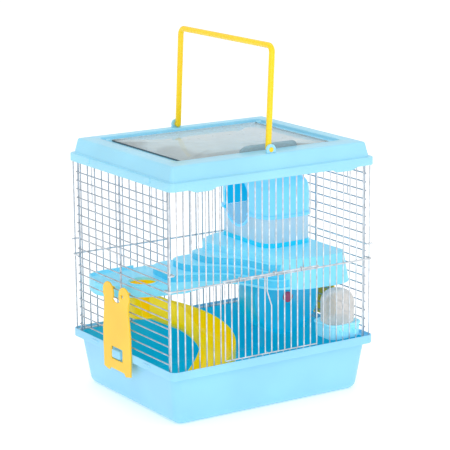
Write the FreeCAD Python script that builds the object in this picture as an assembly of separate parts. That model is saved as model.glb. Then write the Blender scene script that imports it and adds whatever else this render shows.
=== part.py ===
import FreeCAD, Part
import math
import os

# Small-pet wire cage: moulded tray, four welded wire walls, moulded lid with a clear
# hatch, folding carry handle, two side latches and the furniture inside.
# Millimetres. +X along the long side, +Y to the back, +Z up. The origin is the middle
# of the tray's underside.

V = FreeCAD.Vector

# ---------------------------------------------------------------- driving dimensions
cage_length = 300.0          # outer length of the tray rim and of the lid flange
cage_depth = 250.0           # outer depth of both
edge_corner_r = 9.0          # plan corner radius of rim and flange

tray_height = 72.6
tray_wall = 2.2
rim_wall = 1.6               # outer lip of the tray rim and of the lid flange
rim_band = 10.6              # height of the rim's outer lip
rim_overhang = 5.6           # rim beyond the top of the tray's body
tray_taper = 12.5            # each side draws in by this much down to the floor
tray_bottom_r = 9.0
tray_corner_r = 12.0
ledge_depth = 4.4            # from the rim's top down to the ledge the walls stand on

wall_height = 232.0          # ledge to the top of the wires
wire_r = 0.85
rail_r = 1.1
post_r = 1.3
weld_gap = 0.02              # crossing wires meet at a point
front_wire_inset = 3.0       # first upright from the end of the cage
front_plane_inset = 8.0      # front and back wires from the cage's face
side_plane_inset = 3.6       # side wires from the cage's end
front_wire_count = 30
side_wire_pitch = 11.1
side_post_inset = 15.5       # end post of a side wall from the cage's face
side_post_offset = 5.0       # middle post of a side wall, off centre
mid_rail_rise = 98.5         # mid rail of front and back above the tray's top
side_rail_index = 10         # the side wire that is the heavier rail
rail_hook_bend = 2.4
door_foot_rise = 1.6         # door's foot wire above the tray's top

lid_flange = 10.2
lid_rise = 18.6              # plateau above the flange's top
lid_wall = 2.2
lid_step = 4.5               # flat step between flange and sloped side
lid_slope = 5.0
lid_top_corner_r = 7.0
lid_tab_drop = 3.6
lid_tab_width = 40.0
lid_tab_x = 103.0
lid_clip_y = 73.5
top_fit_x = 2.3              # hatch and handle sit this far right of the middle

panel_length = 219.0
panel_depth = 173.4
panel_thickness = 2.4
panel_corner_r = 4.0
panel_centre_y = 2.5
panel_sink = 1.8             # panel's top below the plateau
panel_end_gap = 12.0
panel_side_gap = 3.6
panel_back_gap = 11.0
panel_rest = 0.2
ledge_overlap = 11.0         # panel on the ledge around the opening
grip_length = 84.0
grip_height = 8.4
grip_thickness = 2.4
grip_shift = 17.0
hinge_pin_r = 1.2
hinge_pin_play = 0.08
hinge_knuckle = 9.0

handle_r = 3.7
handle_height = 125.0
handle_span = 209.0          # between the centres of the two legs
handle_lean = 2.9            # degrees towards +X
handle_bend = 8.0
handle_pivot_rise = 4.2      # pivot above the plateau
handle_peg_r = 2.9
handle_peg_play = 0.1
socket_r = 6.6
socket_depth = 3.0
socket_gap = 0.4

latch_width = 68.0
latch_thickness = 2.2
latch_foot_z = 43.0
latch_head_z = 132.0
latch_ear_r = 13.0
latch_ear_y = 19.5
latch_ear_z = 142.0
latch_window = (27.0, 16.0)
latch_window_z = 65.5
latch_stand_off = 3.9        # inner face of the plate from the side wires' plane
latch_wire_index = 6         # side wire that the latch hangs on
latch_clip_play = 0.3
latch_clip_wall = 1.3
latch_clip_width = 7.0
catch_height = 10.0
catch_width = 19.0
catch_reach = 4.6

door_first = 7               # front uprights either side of the doorway
door_last = 21
door_gap = 3.2               # door's side wire from the upright beside it
door_plane = 2.6             # door bars in front of the mid rail's middle
door_bar_count = 13
loop_wire_r = 0.8
loop_play = 0.3
latch_bar_index = 6
latch_bar_jog = 6.4

low_top_z = 141.0
low_skirt = 15.0
low_rim = 3.5                # raised rim along the low platform's back
platform_wall = 2.2
platform_play = 1.4          # platform edge from the nearest wires
hole_r = 18.0
hole_x = -90.0
hole_y = 45.0
step_rise = 8.6
high_skirt = 39.0
high_flare = 7.0
high_flare_y = -58.0         # the lean begins in front of this depth
skirt_rise_x = (-46.0, 2.0)  # the low skirt's lower edge climbs between these

slide_width = 46.0
slide_depth = (35.0, 24.0)    # side walls at the top and at the end
slide_wall = 1.8
slide_round = 11.0
slide_ring_play = 0.4
slide_turn_r = 38.0
slide_centre = (-50.0, 2.0)
slide_end_angle = -140.0
slide_top_floor = 96.0

house_x = (55.0, 131.0)
house_y = (-21.0, 94.0)
house_corner_r = 20.0
house_wall = 1.8
house_ring_height = 6.0
house_body_height = 32.0
house_lip_height = 4.0
house_lip_out = 3.0
house_roof_height = 52.0
house_roof_round = 18.0
doorway_width = 57.0
doorway_sill = 21.5
doorway_head = 83.0
doorway_y = 46.5
doorway_rim = (3.0, 1.4)     # width and height of the rim round the doorway

wheel_r = 50.0
wheel_x = 80.5
wheel_y = -31.0
wheel_z = 112.0
wheel_depth = 40.0
wheel_wall = 1.8
hub_r = 8.0
hub_length = 24.0
axle_r = 2.0
axle_play = 0.06
hub_cap_r = 7.0
hub_cap_depth = 4.0
bracket_gap = 2.5
bracket_width = 26.0
bracket_thickness = 4.0

feeder_x = (91.0, 143.2)
feeder_y = (-114.0, -66.5)
feeder_height = 20.0
feeder_corner_r = 14.0
feeder_wall = 1.8
feeder_lip = 1.6
dome_r = 21.5
dome_height = 40.0
dome_wall = 1.5

# ---------------------------------------------------------------- derived positions
half_x = cage_length / 2
half_y = cage_depth / 2
ledge_z = tray_height - ledge_depth
wire_bottom = ledge_z + 0.05
wire_top = ledge_z + wall_height
wire_plane_y = half_y - front_plane_inset
wire_plane_x = half_x - side_plane_inset
front_end_x = half_x - front_wire_inset
front_pitch = 2 * front_end_x / (front_wire_count - 1)
post_y = half_y - side_post_inset
mid_rail_z = tray_height + mid_rail_rise
rail_y = wire_plane_y + wire_r + rail_r + weld_gap
top_rail_z = wire_top + rail_r - 1.0
foot_rail_z = ledge_z + rail_r + 0.1
side_first_z = tray_height + 7.2
side_wire_count = int((wire_top - 20.0 - side_first_z) / side_wire_pitch) + 1
side_rail_z = side_first_z + side_rail_index * side_wire_pitch
latch_wire_z = side_first_z + latch_wire_index * side_wire_pitch

flange_top = top_rail_z + rail_r + rim_wall + 0.05
flange_bottom = flange_top - lid_flange
lid_wire_top = flange_top - rim_wall - 0.1
plateau_z = flange_top + lid_rise
plateau_x = half_x - lid_step - lid_slope
plateau_y = half_y - lid_step - lid_slope

panel_x0 = top_fit_x - panel_length / 2
panel_x1 = top_fit_x + panel_length / 2
panel_y0 = panel_centre_y - panel_depth / 2
panel_y1 = panel_centre_y + panel_depth / 2
panel_top = plateau_z - panel_sink
panel_bottom = panel_top - panel_thickness
recess_z = panel_bottom - panel_rest
hatch_axis_y = panel_y1 - 0.5
hatch_axis_z = panel_bottom + panel_thickness / 2

pivot_z = plateau_z + handle_pivot_rise
leg_y = handle_span / 2

door_x0 = -front_end_x + door_first * front_pitch + door_gap
door_x1 = -front_end_x + door_last * front_pitch - door_gap
door_y = -(rail_y + door_plane)
loop_ring_r = rail_r + loop_play + loop_wire_r
loop_reach = loop_ring_r + loop_wire_r + rail_r + weld_gap
door_rail_z = mid_rail_z + math.sqrt(loop_reach ** 2 - door_plane ** 2)
door_foot_z = tray_height + door_foot_rise
stub_top = tray_height - 1.0

inner_x = wire_plane_x - wire_r - post_r * 2 - platform_play
inner_y = wire_plane_y - wire_r - platform_play
high_top_z = low_top_z + 4 * step_rise
slide_end_floor = tray_wall + 0.1
feeder_z = ledge_z + 0.5


# ---------------------------------------------------------------- shape helpers
def box(x0, x1, y0, y1, z0, z1):
    """Upright box between the given limits."""
    return Part.makeBox(x1 - x0, y1 - y0, z1 - z0, V(x0, y0, z0))


def rod(start, end, radius):
    """Straight round bar."""
    run = end - start
    return Part.makeCylinder(radius, run.Length, start, run)


def rounded_wire(x0, x1, y0, y1, radius, z):
    """Rounded rectangle at height z."""
    r = radius
    s = r * (1 - math.sqrt(0.5))
    pts = [
        (V(x0 + r, y0, z), V(x1 - r, y0, z), V(x1 - s, y0 + s, z)),
        (V(x1, y0 + r, z), V(x1, y1 - r, z), V(x1 - s, y1 - s, z)),
        (V(x1 - r, y1, z), V(x0 + r, y1, z), V(x0 + s, y1 - s, z)),
        (V(x0, y1 - r, z), V(x0, y0 + r, z), V(x0 + s, y0 + s, z)),
    ]
    edges = []
    for i, (a, b, mid) in enumerate(pts):
        after = pts[(i + 1) % 4][0]
        edges.append(Part.LineSegment(a, b).toShape())
        edges.append(Part.Arc(b, mid, after).toShape())
    return Part.Wire(edges)


def prism(x0, x1, y0, y1, radius, z0, z1):
    """Rounded rectangle pulled up from z0 to z1."""
    return Part.Face(rounded_wire(x0, x1, y0, y1, radius, z0)).extrude(V(0, 0, z1 - z0))


def centred(half_a, half_b, radius, z0, z1):
    """Rounded prism centred on the origin."""
    return prism(-half_a, half_a, -half_b, half_b, radius, z0, z1)


def tapered(lower, upper):
    """Straight-sided solid between two rounded rectangles (half x, half y, radius, z)."""
    wires = [rounded_wire(-a, a, -b, b, r, z) for a, b, r, z in (lower, upper)]
    return Part.makeLoft(wires, True, True)


def bent_rod(points, radius, bend):
    """Round bar along straight runs joined by tangent arcs."""
    edges = []
    last = points[0]
    for before, corner, after in zip(points, points[1:], points[2:]):
        into = (corner - before).normalize()
        out = (after - corner).normalize()
        half = into.getAngle(out) / 2
        cut = bend * math.tan(half)
        a = corner - into * cut
        b = corner + out * cut
        inward = (out - into).normalize()
        mid = corner + inward * (bend / math.cos(half) - bend)
        edges.append(Part.LineSegment(last, a).toShape())
        edges.append(Part.Arc(a, mid, b).toShape())
        last = b
    edges.append(Part.LineSegment(last, points[-1]).toShape())
    path = Part.Wire(edges)
    start = (points[1] - points[0]).normalize()
    ring = Part.Wire(Part.Circle(points[0], start, radius).toShape())
    return path.makePipeShell([ring], True, True)


def pushed_out(points, distance):
    """Plan points (x, y) moved outwards; distance is a number or a function of y."""
    moved = []
    for i, (x, y) in enumerate(points):
        before = points[i - 1]
        after = points[(i + 1) % len(points)]
        run_x, run_y = after[0] - before[0], after[1] - before[1]
        size = math.hypot(run_x, run_y)
        d = distance(y) if callable(distance) else distance
        moved.append((x + d * run_y / size, y - d * run_x / size))
    return moved


def smooth_outline(points, z):
    """Closed smooth curve through plan points (x, y), anticlockwise, at height z."""
    curve = Part.BSplineCurve()
    curve.interpolate([V(x, y, z) for x, y in points], PeriodicFlag=True)
    return Part.Wire(curve.toShape())


def smooth_prism(points, z0, z1):
    """Solid between z0 and z1 over a smooth plan outline."""
    return Part.Face(smooth_outline(points, z0)).extrude(V(0, 0, z1 - z0))


def half_turn(shape):
    """Copy turned half a turn about the vertical axis."""
    copy = shape.copy()
    copy.rotate(V(0, 0, 0), V(0, 0, 1), 180)
    return copy


def save(name, solids):
    """Write one node; a list becomes a group of separate solids."""
    parts = solids if isinstance(solids, list) else [solids]
    flat = [s for part in parts for s in part.Solids]
    shape = flat[0] if len(flat) == 1 else Part.makeCompound(flat)
    shape.exportStep("parts/" + name + ".step")
    volume = sum(s.Volume for s in flat)
    print(name, len(flat), "solids", round(volume), "mm3", all(s.isValid() for s in flat))


# ---------------------------------------------------------------- tray
def make_tray():
    top_x = half_x - rim_overhang
    top_y = half_y - rim_overhang
    ledge_under = ledge_z - tray_wall
    floor_x = top_x - tray_taper
    floor_y = top_y - tray_taper

    def body(inset, z0, bottom_r):
        lower = (floor_x - inset, floor_y - inset, tray_corner_r - inset, z0)
        upper = (top_x - inset, top_y - inset, tray_corner_r - inset, ledge_z)
        solid = tapered(lower, upper)
        low_edges = [e for e in solid.Edges if abs(e.BoundBox.ZMax - z0) < 1e-6]
        return solid.makeFillet(bottom_r, low_edges)

    outer = body(0.0, 0.0, tray_bottom_r)
    band = centred(half_x, half_y, edge_corner_r, tray_height - rim_band, tray_height)
    band_gap = centred(half_x - rim_wall, half_y - rim_wall, edge_corner_r - rim_wall,
                       tray_height - rim_band, tray_height)
    ledge = centred(half_x - 0.5, half_y - 0.5, edge_corner_r - 0.5, ledge_under, ledge_z)
    rim = band.cut(band_gap).fuse(ledge)
    hollow = body(tray_wall, tray_wall, tray_bottom_r - tray_wall)
    tray = outer.fuse(rim).cut(hollow)
    catch = make_catch()
    bumps = [make_rim_bump(x, y) for x in (-1, 1) for y in (-1, 1)]
    return tray.fuse([catch, half_turn(catch)] + bumps).removeSplitter()


def make_catch():
    """Block on the left rim that the latch window drops over."""
    z0 = latch_window_z - catch_height / 2
    block = box(-half_x - catch_reach, -half_x + rim_wall / 2, -catch_width / 2,
                catch_width / 2, z0, z0 + catch_height)
    outer_top = [e for e in block.Edges if e.BoundBox.XMax < -half_x - catch_reach + 0.1]
    block = block.makeFillet(1.5, outer_top)
    block.translate(V(0, side_post_offset, 0))
    return block


def make_rim_bump(side_x, side_y):
    """Small clip bump on the rim's short side."""
    middle = V(side_x * half_x, side_y * 64.0, tray_height - 4.0)
    bump = Part.makeCylinder(1.6, 16.0, middle - V(0, 8.0, 0), V(0, 1, 0))
    keep = box(-half_x - 2.0, half_x + 2.0, -half_y, half_y, 0, tray_height)
    inside = box(-half_x + 0.5, half_x - 0.5, -half_y, half_y, 0, tray_height)
    return bump.common(keep).cut(inside)


# ---------------------------------------------------------------- wire walls
def front_x(index):
    return -front_end_x + index * front_pitch


def upright(x, y, z0, z1):
    return rod(V(x, y, z0), V(x, y, z1), wire_r)


def make_front_wall():
    wires = []
    for i in range(front_wire_count):
        x = front_x(i)
        if door_first < i < door_last:
            wires.append(upright(x, -wire_plane_y, wire_bottom, stub_top))
            wires.append(upright(x, -wire_plane_y, mid_rail_z - rail_r, wire_top))
        else:
            wires.append(upright(x, -wire_plane_y, wire_bottom, wire_top))
    return wires


def make_back_wall():
    return [upright(front_x(i), wire_plane_y, wire_bottom, wire_top)
            for i in range(front_wire_count)]


def long_rail(y, z, radius):
    reach = front_end_x - 0.4
    return rod(V(-reach, y, z), V(reach, y, z), radius)


def make_hooked_rail():
    """Front mid rail: its ends turn round the end posts of the side walls."""
    reach = front_end_x + wire_r + rail_r + 0.25
    turn_y = -post_y + post_r + rail_r + 0.35
    tip_x = wire_plane_x - 1.6
    return bent_rod([V(-tip_x, turn_y, mid_rail_z), V(-reach, turn_y, mid_rail_z),
                     V(-reach, -rail_y, mid_rail_z), V(reach, -rail_y, mid_rail_z),
                     V(reach, turn_y, mid_rail_z), V(tip_x, turn_y, mid_rail_z)],
                    rail_r, rail_hook_bend)


def make_side_wall():
    """Left wall: level wires on two end posts and a middle post."""
    x = -wire_plane_x
    post_x = x + wire_r + post_r + weld_gap
    wires = []
    for i in range(side_wire_count):
        if i != side_rail_index:
            z = side_first_z + i * side_wire_pitch
            wires.append(rod(V(x, -post_y - post_r, z), V(x, post_y + post_r, z), wire_r))
    for y in (-post_y, side_post_offset, post_y):
        wires.append(rod(V(post_x, y, wire_bottom), V(post_x, y, wire_top), post_r))
    return wires


def make_side_rail():
    """Left wall's heavier rail: its ends turn round the corner uprights."""
    x = -wire_plane_x + wire_r + 2 * post_r + rail_r + 2 * weld_gap
    turn_y = wire_plane_y + wire_r + rail_r + 0.35
    tip_x = -half_x - 0.8
    return bent_rod([V(tip_x, -turn_y, side_rail_z), V(x, -turn_y, side_rail_z),
                     V(x, turn_y, side_rail_z), V(tip_x, turn_y, side_rail_z)],
                    rail_r, rail_hook_bend)


def make_lid_wires():
    """Short wires that hang from the lid's clips against the side walls."""
    x = wire_plane_x - 2 * wire_r - weld_gap
    stubs = []
    for side in (-1, 1):
        for y in (-lid_clip_y, lid_clip_y):
            stubs.append(upright(side * x, y, 246.0, lid_wire_top))
    return stubs


# ---------------------------------------------------------------- front door
def door_bar_x(index):
    return door_x0 + (index + 1) * (door_x1 - door_x0) / (door_bar_count + 1)


def make_door_frame():
    """Door wires: the top rail it turns on, a foot wire, two side wires and the bars."""
    bars = [rod(V(door_x0 - door_gap, door_y, door_rail_z),
                V(door_x1 + door_gap, door_y, door_rail_z), rail_r),
            rod(V(door_x0, door_y, door_foot_z), V(door_x1, door_y, door_foot_z), wire_r)]
    bar_top = door_rail_z - rail_r - weld_gap
    bar_foot = door_foot_z + wire_r + weld_gap
    xs = [door_x0] + [door_bar_x(i) for i in range(door_bar_count)] + [door_x1]
    for x in xs:
        if x != door_bar_x(latch_bar_index):
            bars.append(rod(V(x, door_y, bar_foot), V(x, door_y, bar_top), wire_r))
    return bars


def make_door_loops():
    """Rings welded to the mid rail that the door's top rail turns in."""
    return [Part.makeTorus(loop_ring_r, loop_wire_r,
                           V(front_x(i) + front_pitch * 0.4, door_y, door_rail_z), V(1, 0, 0))
            for i in (door_first + 2, (door_first + door_last) // 2, door_last - 3)]


def make_latch_bar():
    """The door's sprung bar, jogged sideways below its top."""
    x = door_bar_x(latch_bar_index)
    return bent_rod([V(x, door_y, door_foot_z + wire_r + weld_gap),
                     V(x, door_y, mid_rail_z - 37.0),
                     V(x - latch_bar_jog, door_y, mid_rail_z - 18.0),
                     V(x - latch_bar_jog, door_y, door_rail_z - rail_r - weld_gap)],
                    wire_r, 3.0)


def make_latch_hook():
    """Hook on the door's foot wire that reaches in over the tray's rim."""
    x = door_bar_x(latch_bar_index)
    nearest = min((front_x(i) for i in range(front_wire_count)), key=lambda w: abs(w - x))
    x = nearest + front_pitch / 2 if x > nearest else nearest - front_pitch / 2
    return rod(V(x, door_y + wire_r + weld_gap, door_foot_z),
               V(x, -wire_plane_y + wire_r, door_foot_z), loop_wire_r)


# ---------------------------------------------------------------- lid
def make_lid():
    step_x = half_x - lid_step
    step_y = half_y - lid_step
    skirt = centred(half_x, half_y, edge_corner_r, flange_bottom, flange_top)
    skirt_gap = centred(half_x - rim_wall, half_y - rim_wall, edge_corner_r - rim_wall,
                        flange_bottom, flange_top - rim_wall)
    crown = tapered((step_x, step_y, lid_top_corner_r, flange_top - rim_wall),
                    (plateau_x, plateau_y, lid_top_corner_r, plateau_z))
    rim_edges = [e for e in crown.Edges if e.BoundBox.ZMin > plateau_z - 1e-6]
    crown = crown.makeFillet(2.6, rim_edges)
    crown_gap = tapered(
        (step_x - lid_wall, step_y - lid_wall, lid_top_corner_r - lid_wall,
         flange_top - rim_wall - 0.01),
        (plateau_x - lid_wall, plateau_y - lid_wall, lid_top_corner_r - lid_wall,
         plateau_z - lid_wall))
    lid = skirt.fuse([crown] + make_lid_tabs())
    well = prism(panel_x0 - panel_end_gap, panel_x1 + panel_end_gap,
                 panel_y0 - panel_side_gap, panel_y1 + panel_back_gap,
                 6.0, recess_z, plateau_z + 1.0)
    liner = prism(panel_x0 - panel_end_gap - lid_wall, panel_x1 + panel_end_gap + lid_wall,
                  panel_y0 - panel_side_gap - lid_wall, panel_y1 + panel_back_gap + lid_wall,
                  8.0, recess_z - lid_wall, plateau_z - lid_wall / 2)
    opening = prism(panel_x0 + ledge_overlap, panel_x1 - ledge_overlap,
                    panel_y0 + ledge_overlap, panel_y1 - ledge_overlap,
                    6.0, recess_z - lid_wall - 1.0, plateau_z)
    lid = lid.cut([skirt_gap, crown_gap]).fuse(liner).cut([well, opening])
    bumps = [make_lid_clip(x, y) for x in (-1, 1) for y in (-1, 1)]
    slots = [box(x + s - 1.1, x + s + 1.1, y - 2.0, y + 2.0, flange_bottom + 5.6,
                 flange_bottom + 7.6)
             for x in (-lid_tab_x, lid_tab_x) for s in (-2.2, 2.2)
             for y in (-half_y, half_y)]
    return lid.fuse(bumps).cut(slots).removeSplitter()


def make_lid_tabs():
    """Shallow tongues hanging from the front and back flange."""
    tabs = []
    for x in (-lid_tab_x, lid_tab_x):
        for side in (-1, 1):
            y0, y1 = sorted((side * half_y, side * (half_y - rim_wall)))
            a = V(x - lid_tab_width / 2, y0, flange_bottom + 1.0)
            b = V(x - lid_tab_width / 2 + 9.0, y0, flange_bottom - lid_tab_drop)
            c = V(x + lid_tab_width / 2 - 9.0, y0, flange_bottom - lid_tab_drop)
            d = V(x + lid_tab_width / 2, y0, flange_bottom + 1.0)
            tongue = Part.Face(Part.makePolygon([a, b, c, d, a])).extrude(V(0, y1 - y0, 0))
            tabs.append(tongue)
    return tabs


def make_lid_clip(side_x, side_y):
    """Clip housing on the flange's short side."""
    x0, x1 = sorted((side_x * (half_x - rim_wall / 2), side_x * (half_x + 1.2)))
    return box(x0, x1, side_y * lid_clip_y - 6.0, side_y * lid_clip_y + 6.0,
               flange_top - 6.0, flange_top)


def make_socket(side):
    """Ring on the plateau that one handle peg turns in."""
    near = side * (leg_y + handle_r + socket_gap)
    far = side * (leg_y + handle_r + socket_gap + socket_depth)
    y0, y1 = sorted((near, far))
    ring = Part.makeCylinder(socket_r, y1 - y0, V(top_fit_x, y0, pivot_z), V(0, 1, 0))
    foot = box(top_fit_x - socket_r, top_fit_x + socket_r, y0, y1, plateau_z, pivot_z)
    bore = Part.makeCylinder(handle_peg_r + handle_peg_play, y1 - y0 + 2.0,
                             V(top_fit_x, y0 - 1.0, pivot_z), V(0, 1, 0))
    above = box(-half_x, half_x, -half_y, half_y, plateau_z, plateau_z + 60.0)
    return ring.fuse(foot).common(above).cut(bore)


# ---------------------------------------------------------------- hatch
def make_panel():
    return prism(panel_x0, panel_x1, panel_y0, panel_y1, panel_corner_r,
                 panel_bottom, panel_top)


def make_grip():
    """Upstanding finger strip along the panel's front edge."""
    x0 = top_fit_x + grip_shift - grip_length / 2
    strip = box(x0, x0 + grip_length, panel_y0, panel_y0 + grip_thickness,
                panel_top, panel_top + grip_height)
    corners = [e for e in strip.Edges
               if e.BoundBox.ZMin > panel_top + grip_height - 1e-6
               and e.BoundBox.XLength < 1e-6]
    return strip.makeFillet(4.0, corners)


def knuckle(x0, x1):
    """Hinge knuckle on the panel's back edge."""
    drum = Part.makeCylinder(2.4, x1 - x0, V(x0, hatch_axis_y, hatch_axis_z), V(1, 0, 0))
    return drum


def make_hinge_pins():
    """Stub pins at the panel's back corners."""
    pins = []
    for x_edge, out in ((panel_x0, -1), (panel_x1, 1)):
        tip = x_edge + out * hinge_knuckle
        x0, x1 = sorted((x_edge, tip))
        pins.append(Part.makeCylinder(hinge_pin_r, x1 - x0,
                                      V(x0, hatch_axis_y, hatch_axis_z), V(1, 0, 0)))
    return pins


def make_hinge_lugs():
    """Lugs on the recess floor that hold the pins."""
    lugs = []
    for x_edge, out in ((panel_x0, -1), (panel_x1, 1)):
        x0, x1 = sorted((x_edge + out * 1.5, x_edge + out * (hinge_knuckle - 1.0)))
        drum = knuckle(x0, x1)
        foot = box(x0, x1, hatch_axis_y - 2.4, hatch_axis_y + 2.4, recess_z, hatch_axis_z)
        bore = Part.makeCylinder(hinge_pin_r + hinge_pin_play, x1 - x0 + 2.0,
                                 V(x0 - 1.0, hatch_axis_y, hatch_axis_z), V(1, 0, 0))
        above = box(-half_x, half_x, -half_y, half_y, recess_z, recess_z + 20.0)
        lugs.append(drum.fuse(foot).common(above).cut(bore))
    return lugs


# ---------------------------------------------------------------- handle
def make_handle():
    """Bail with round legs, leaning a little, and a peg at each foot."""
    lean = math.radians(handle_lean)
    up = V(math.sin(lean), 0, math.cos(lean)) * handle_height
    foot = V(top_fit_x, -leg_y, pivot_z)
    back = V(top_fit_x, leg_y, pivot_z)
    bail = bent_rod([foot, foot + up, back + up, back], handle_r, handle_bend)
    eyes = [Part.makeSphere(handle_r, p) for p in (foot, back)]
    return bail.fuse(eyes)


def make_handle_pegs(bail):
    """Pegs at the handle's feet, butted against its legs."""
    pegs = []
    for side in (-1, 1):
        start = V(top_fit_x, side * (leg_y + handle_r * 0.9), pivot_z)
        end = V(top_fit_x, side * (leg_y + handle_r + socket_gap + socket_depth), pivot_z)
        peg = rod(start, end, handle_peg_r)
        pegs.append(max(peg.cut(bail).Solids, key=lambda s: abs(s.CenterOfMass.y)))
    return pegs


# ---------------------------------------------------------------- side latches
def make_latch_plate():
    """Left latch: a flat plate in a bear's outline with a window for the catch."""
    half = latch_width / 2
    outline = [(-half + 1.0, latch_foot_z), (-half + 13.0, latch_foot_z - 2.5),
               (-half + 17.0, latch_foot_z + 1.5), (half - 17.0, latch_foot_z + 1.5),
               (half - 13.0, latch_foot_z - 2.5), (half - 1.0, latch_foot_z),
               (half, latch_foot_z + 30.0), (half, latch_foot_z + 50.0),
               (half - 4.5, latch_head_z - 6.0), (half - 4.0, latch_ear_z),
               (latch_ear_y, latch_ear_z), (4.0, latch_head_z),
               (-4.0, latch_head_z), (-latch_ear_y, latch_ear_z),
               (-half + 4.0, latch_ear_z), (-half + 4.5, latch_head_z - 6.0),
               (-half, latch_foot_z + 50.0), (-half, latch_foot_z + 30.0)]
    x1 = -wire_plane_x - latch_stand_off
    x0 = x1 - latch_thickness
    pts = [V(x0, y, z) for y, z in outline]
    thick = V(latch_thickness, 0, 0)
    plate = Part.Face(Part.makePolygon(pts + [pts[0]])).extrude(thick)
    ears = [Part.makeCylinder(latch_ear_r, latch_thickness, V(x0, y, latch_ear_z), thick)
            for y in (-latch_ear_y, latch_ear_y)]
    plate = plate.fuse(ears)
    wide, tall = latch_window
    window = box(x0 - 1, x1 + 1, -wide / 2, wide / 2,
                 latch_window_z - tall / 2, latch_window_z + tall / 2)
    eye = Part.makeCylinder(2.6, latch_thickness + 2, V(x0 - 1, -15.0, latch_ear_z + 0.5),
                            V(1, 0, 0))
    plate = plate.cut([window, eye]).removeSplitter()
    plate.translate(V(0, side_post_offset, 0))
    return plate


def make_latch_clips():
    """Two C-clips behind the left latch's ears, round the side wire."""
    clips = []
    inner = wire_r + latch_clip_play
    outer = inner + latch_clip_wall
    face = -wire_plane_x - latch_stand_off
    for y in (-latch_ear_y, latch_ear_y):
        y0 = y - latch_clip_width / 2
        middle = V(-wire_plane_x, y0, latch_wire_z)
        ring = Part.makeCylinder(outer, latch_clip_width, middle, V(0, 1, 0))
        arm = box(face, -wire_plane_x, y0, y0 + latch_clip_width,
                  latch_wire_z - outer, latch_wire_z + outer)
        bore = Part.makeCylinder(inner, latch_clip_width, middle, V(0, 1, 0))
        mouth = box(-wire_plane_x, -wire_plane_x + outer + 1, y0, y0 + latch_clip_width,
                    latch_wire_z - outer - 1, latch_wire_z - inner * 0.35)
        clips.append(ring.fuse(arm).cut([bore, mouth]))
    for clip in clips:
        clip.translate(V(0, side_post_offset, 0))
    return clips


# ---------------------------------------------------------------- platforms
def low_outline():
    """Low platform in plan, running on under the stairs to the high one."""
    left = -inner_x
    back = inner_y
    return [(left, 82.0), (left + 1.0, 63.0), (left + 11.0, 47.0), (left + 28.0, 34.0),
            (left + 46.0, 24.5), (left + 64.0, 19.0), (-62.0, 16.0), (-43.0, 11.0),
            (-26.0, 3.5), (-10.0, -7.5), (3.0, -23.0), (12.5, -42.0), (19.5, -62.0),
            (29.0, -79.0), (46.0, -84.0), (60.0, -66.0), (66.0, -30.0), (66.0, 20.0),
            (60.0, 75.0), (40.0, 96.0),
            (10.0, 107.0), (-30.0, back - 1.0), (-60.0, back), (-90.0, back),
            (left + 26.0, back - 1.0), (left + 8.0, back - 9.0)]


def step_outline(level):
    """Plan of one step, 0 for the lowest; each lies inside the one below."""
    outlines = [
        [(-60.0, 60.0), (-62.0, 40.0), (-60.0, 24.0), (-50.0, 16.0), (-38.0, 11.0),
         (-24.0, 3.5), (-9.0, -7.5), (5.0, -23.5), (15.0, -42.0), (22.0, -61.0),
         (31.5, -76.5), (46.0, -81.0), (58.0, -64.0), (64.0, -30.0), (62.0, 20.0),
         (54.0, 66.0), (30.0, 85.0), (0.0, 90.0), (-36.0, 92.0), (-54.0, 80.0)],
        [(-35.5, 50.0), (-35.0, 36.0), (-29.0, 23.0), (-20.0, 13.0), (-7.0, 2.5),
         (7.0, -12.0), (18.5, -31.0), (25.0, -52.0), (34.0, -70.0), (46.0, -76.0),
         (56.0, -60.0), (61.0, -28.0), (59.0, 18.0), (51.0, 56.0), (30.0, 73.0),
         (0.0, 76.0), (-24.0, 73.0), (-34.0, 62.0)],
        [(-11.0, 46.0), (-10.5, 32.0), (-6.5, 19.0), (2.0, 8.5), (13.5, -4.0),
         (24.0, -22.0), (30.0, -45.0), (37.0, -63.0), (47.0, -69.0), (55.0, -54.0),
         (58.0, -26.0), (56.0, 16.0), (48.0, 48.0), (30.0, 62.0), (10.0, 66.0),
         (-6.0, 60.0)],
    ]
    return outlines[level]


def high_outline():
    """High platform's top in plan."""
    right = inner_x - 2.0 * post_r - 1.0
    return [(13.0, 58.0), (17.0, 42.0), (22.0, 22.0), (28.0, 0.0), (32.5, -24.0),
            (36.0, -46.0), (42.0, -63.0), (54.0, -76.0), (72.0, -84.0), (96.0, -86.5),
            (122.0, -86.5), (right - 3.0, -79.0), (right, -58.0), (right, 0.0),
            (right - 1.0, 60.0), (right - 4.0, 86.0), (121.0, 97.0), (90.0, 98.5),
            (57.0, 98.0), (34.0, 88.0), (18.0, 74.0)]


def flare(y):
    """How far the high platform's foot stands out, by depth: only its front leans."""
    return high_flare * min(1.0, max(0.0, (high_flare_y - y) / 22.0))


def high_solid(inset):
    """High platform as a full solid, its faces moved in by inset."""
    top = pushed_out(high_outline(), -inset)
    foot = pushed_out(high_outline(), lambda y: flare(y) - inset)
    wires = [smooth_outline(foot, high_top_z - high_skirt), smooth_outline(top, high_top_z)]
    return Part.makeLoft(wires, True, True)


def under_stairs():
    """Space below the low platform's skirt where it climbs with the stairs."""
    x0, x1 = skirt_rise_x
    z0 = low_top_z - low_skirt
    z1 = low_top_z - platform_wall
    pts = [V(x0, -half_y, z0 - 9.0), V(x0, -half_y, z0), V(x1, -half_y, z1),
           V(half_x, -half_y, z1), V(half_x, -half_y, z0 - 9.0)]
    return Part.Face(Part.makePolygon(pts + [pts[0]])).extrude(V(0, cage_depth, 0))


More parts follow.
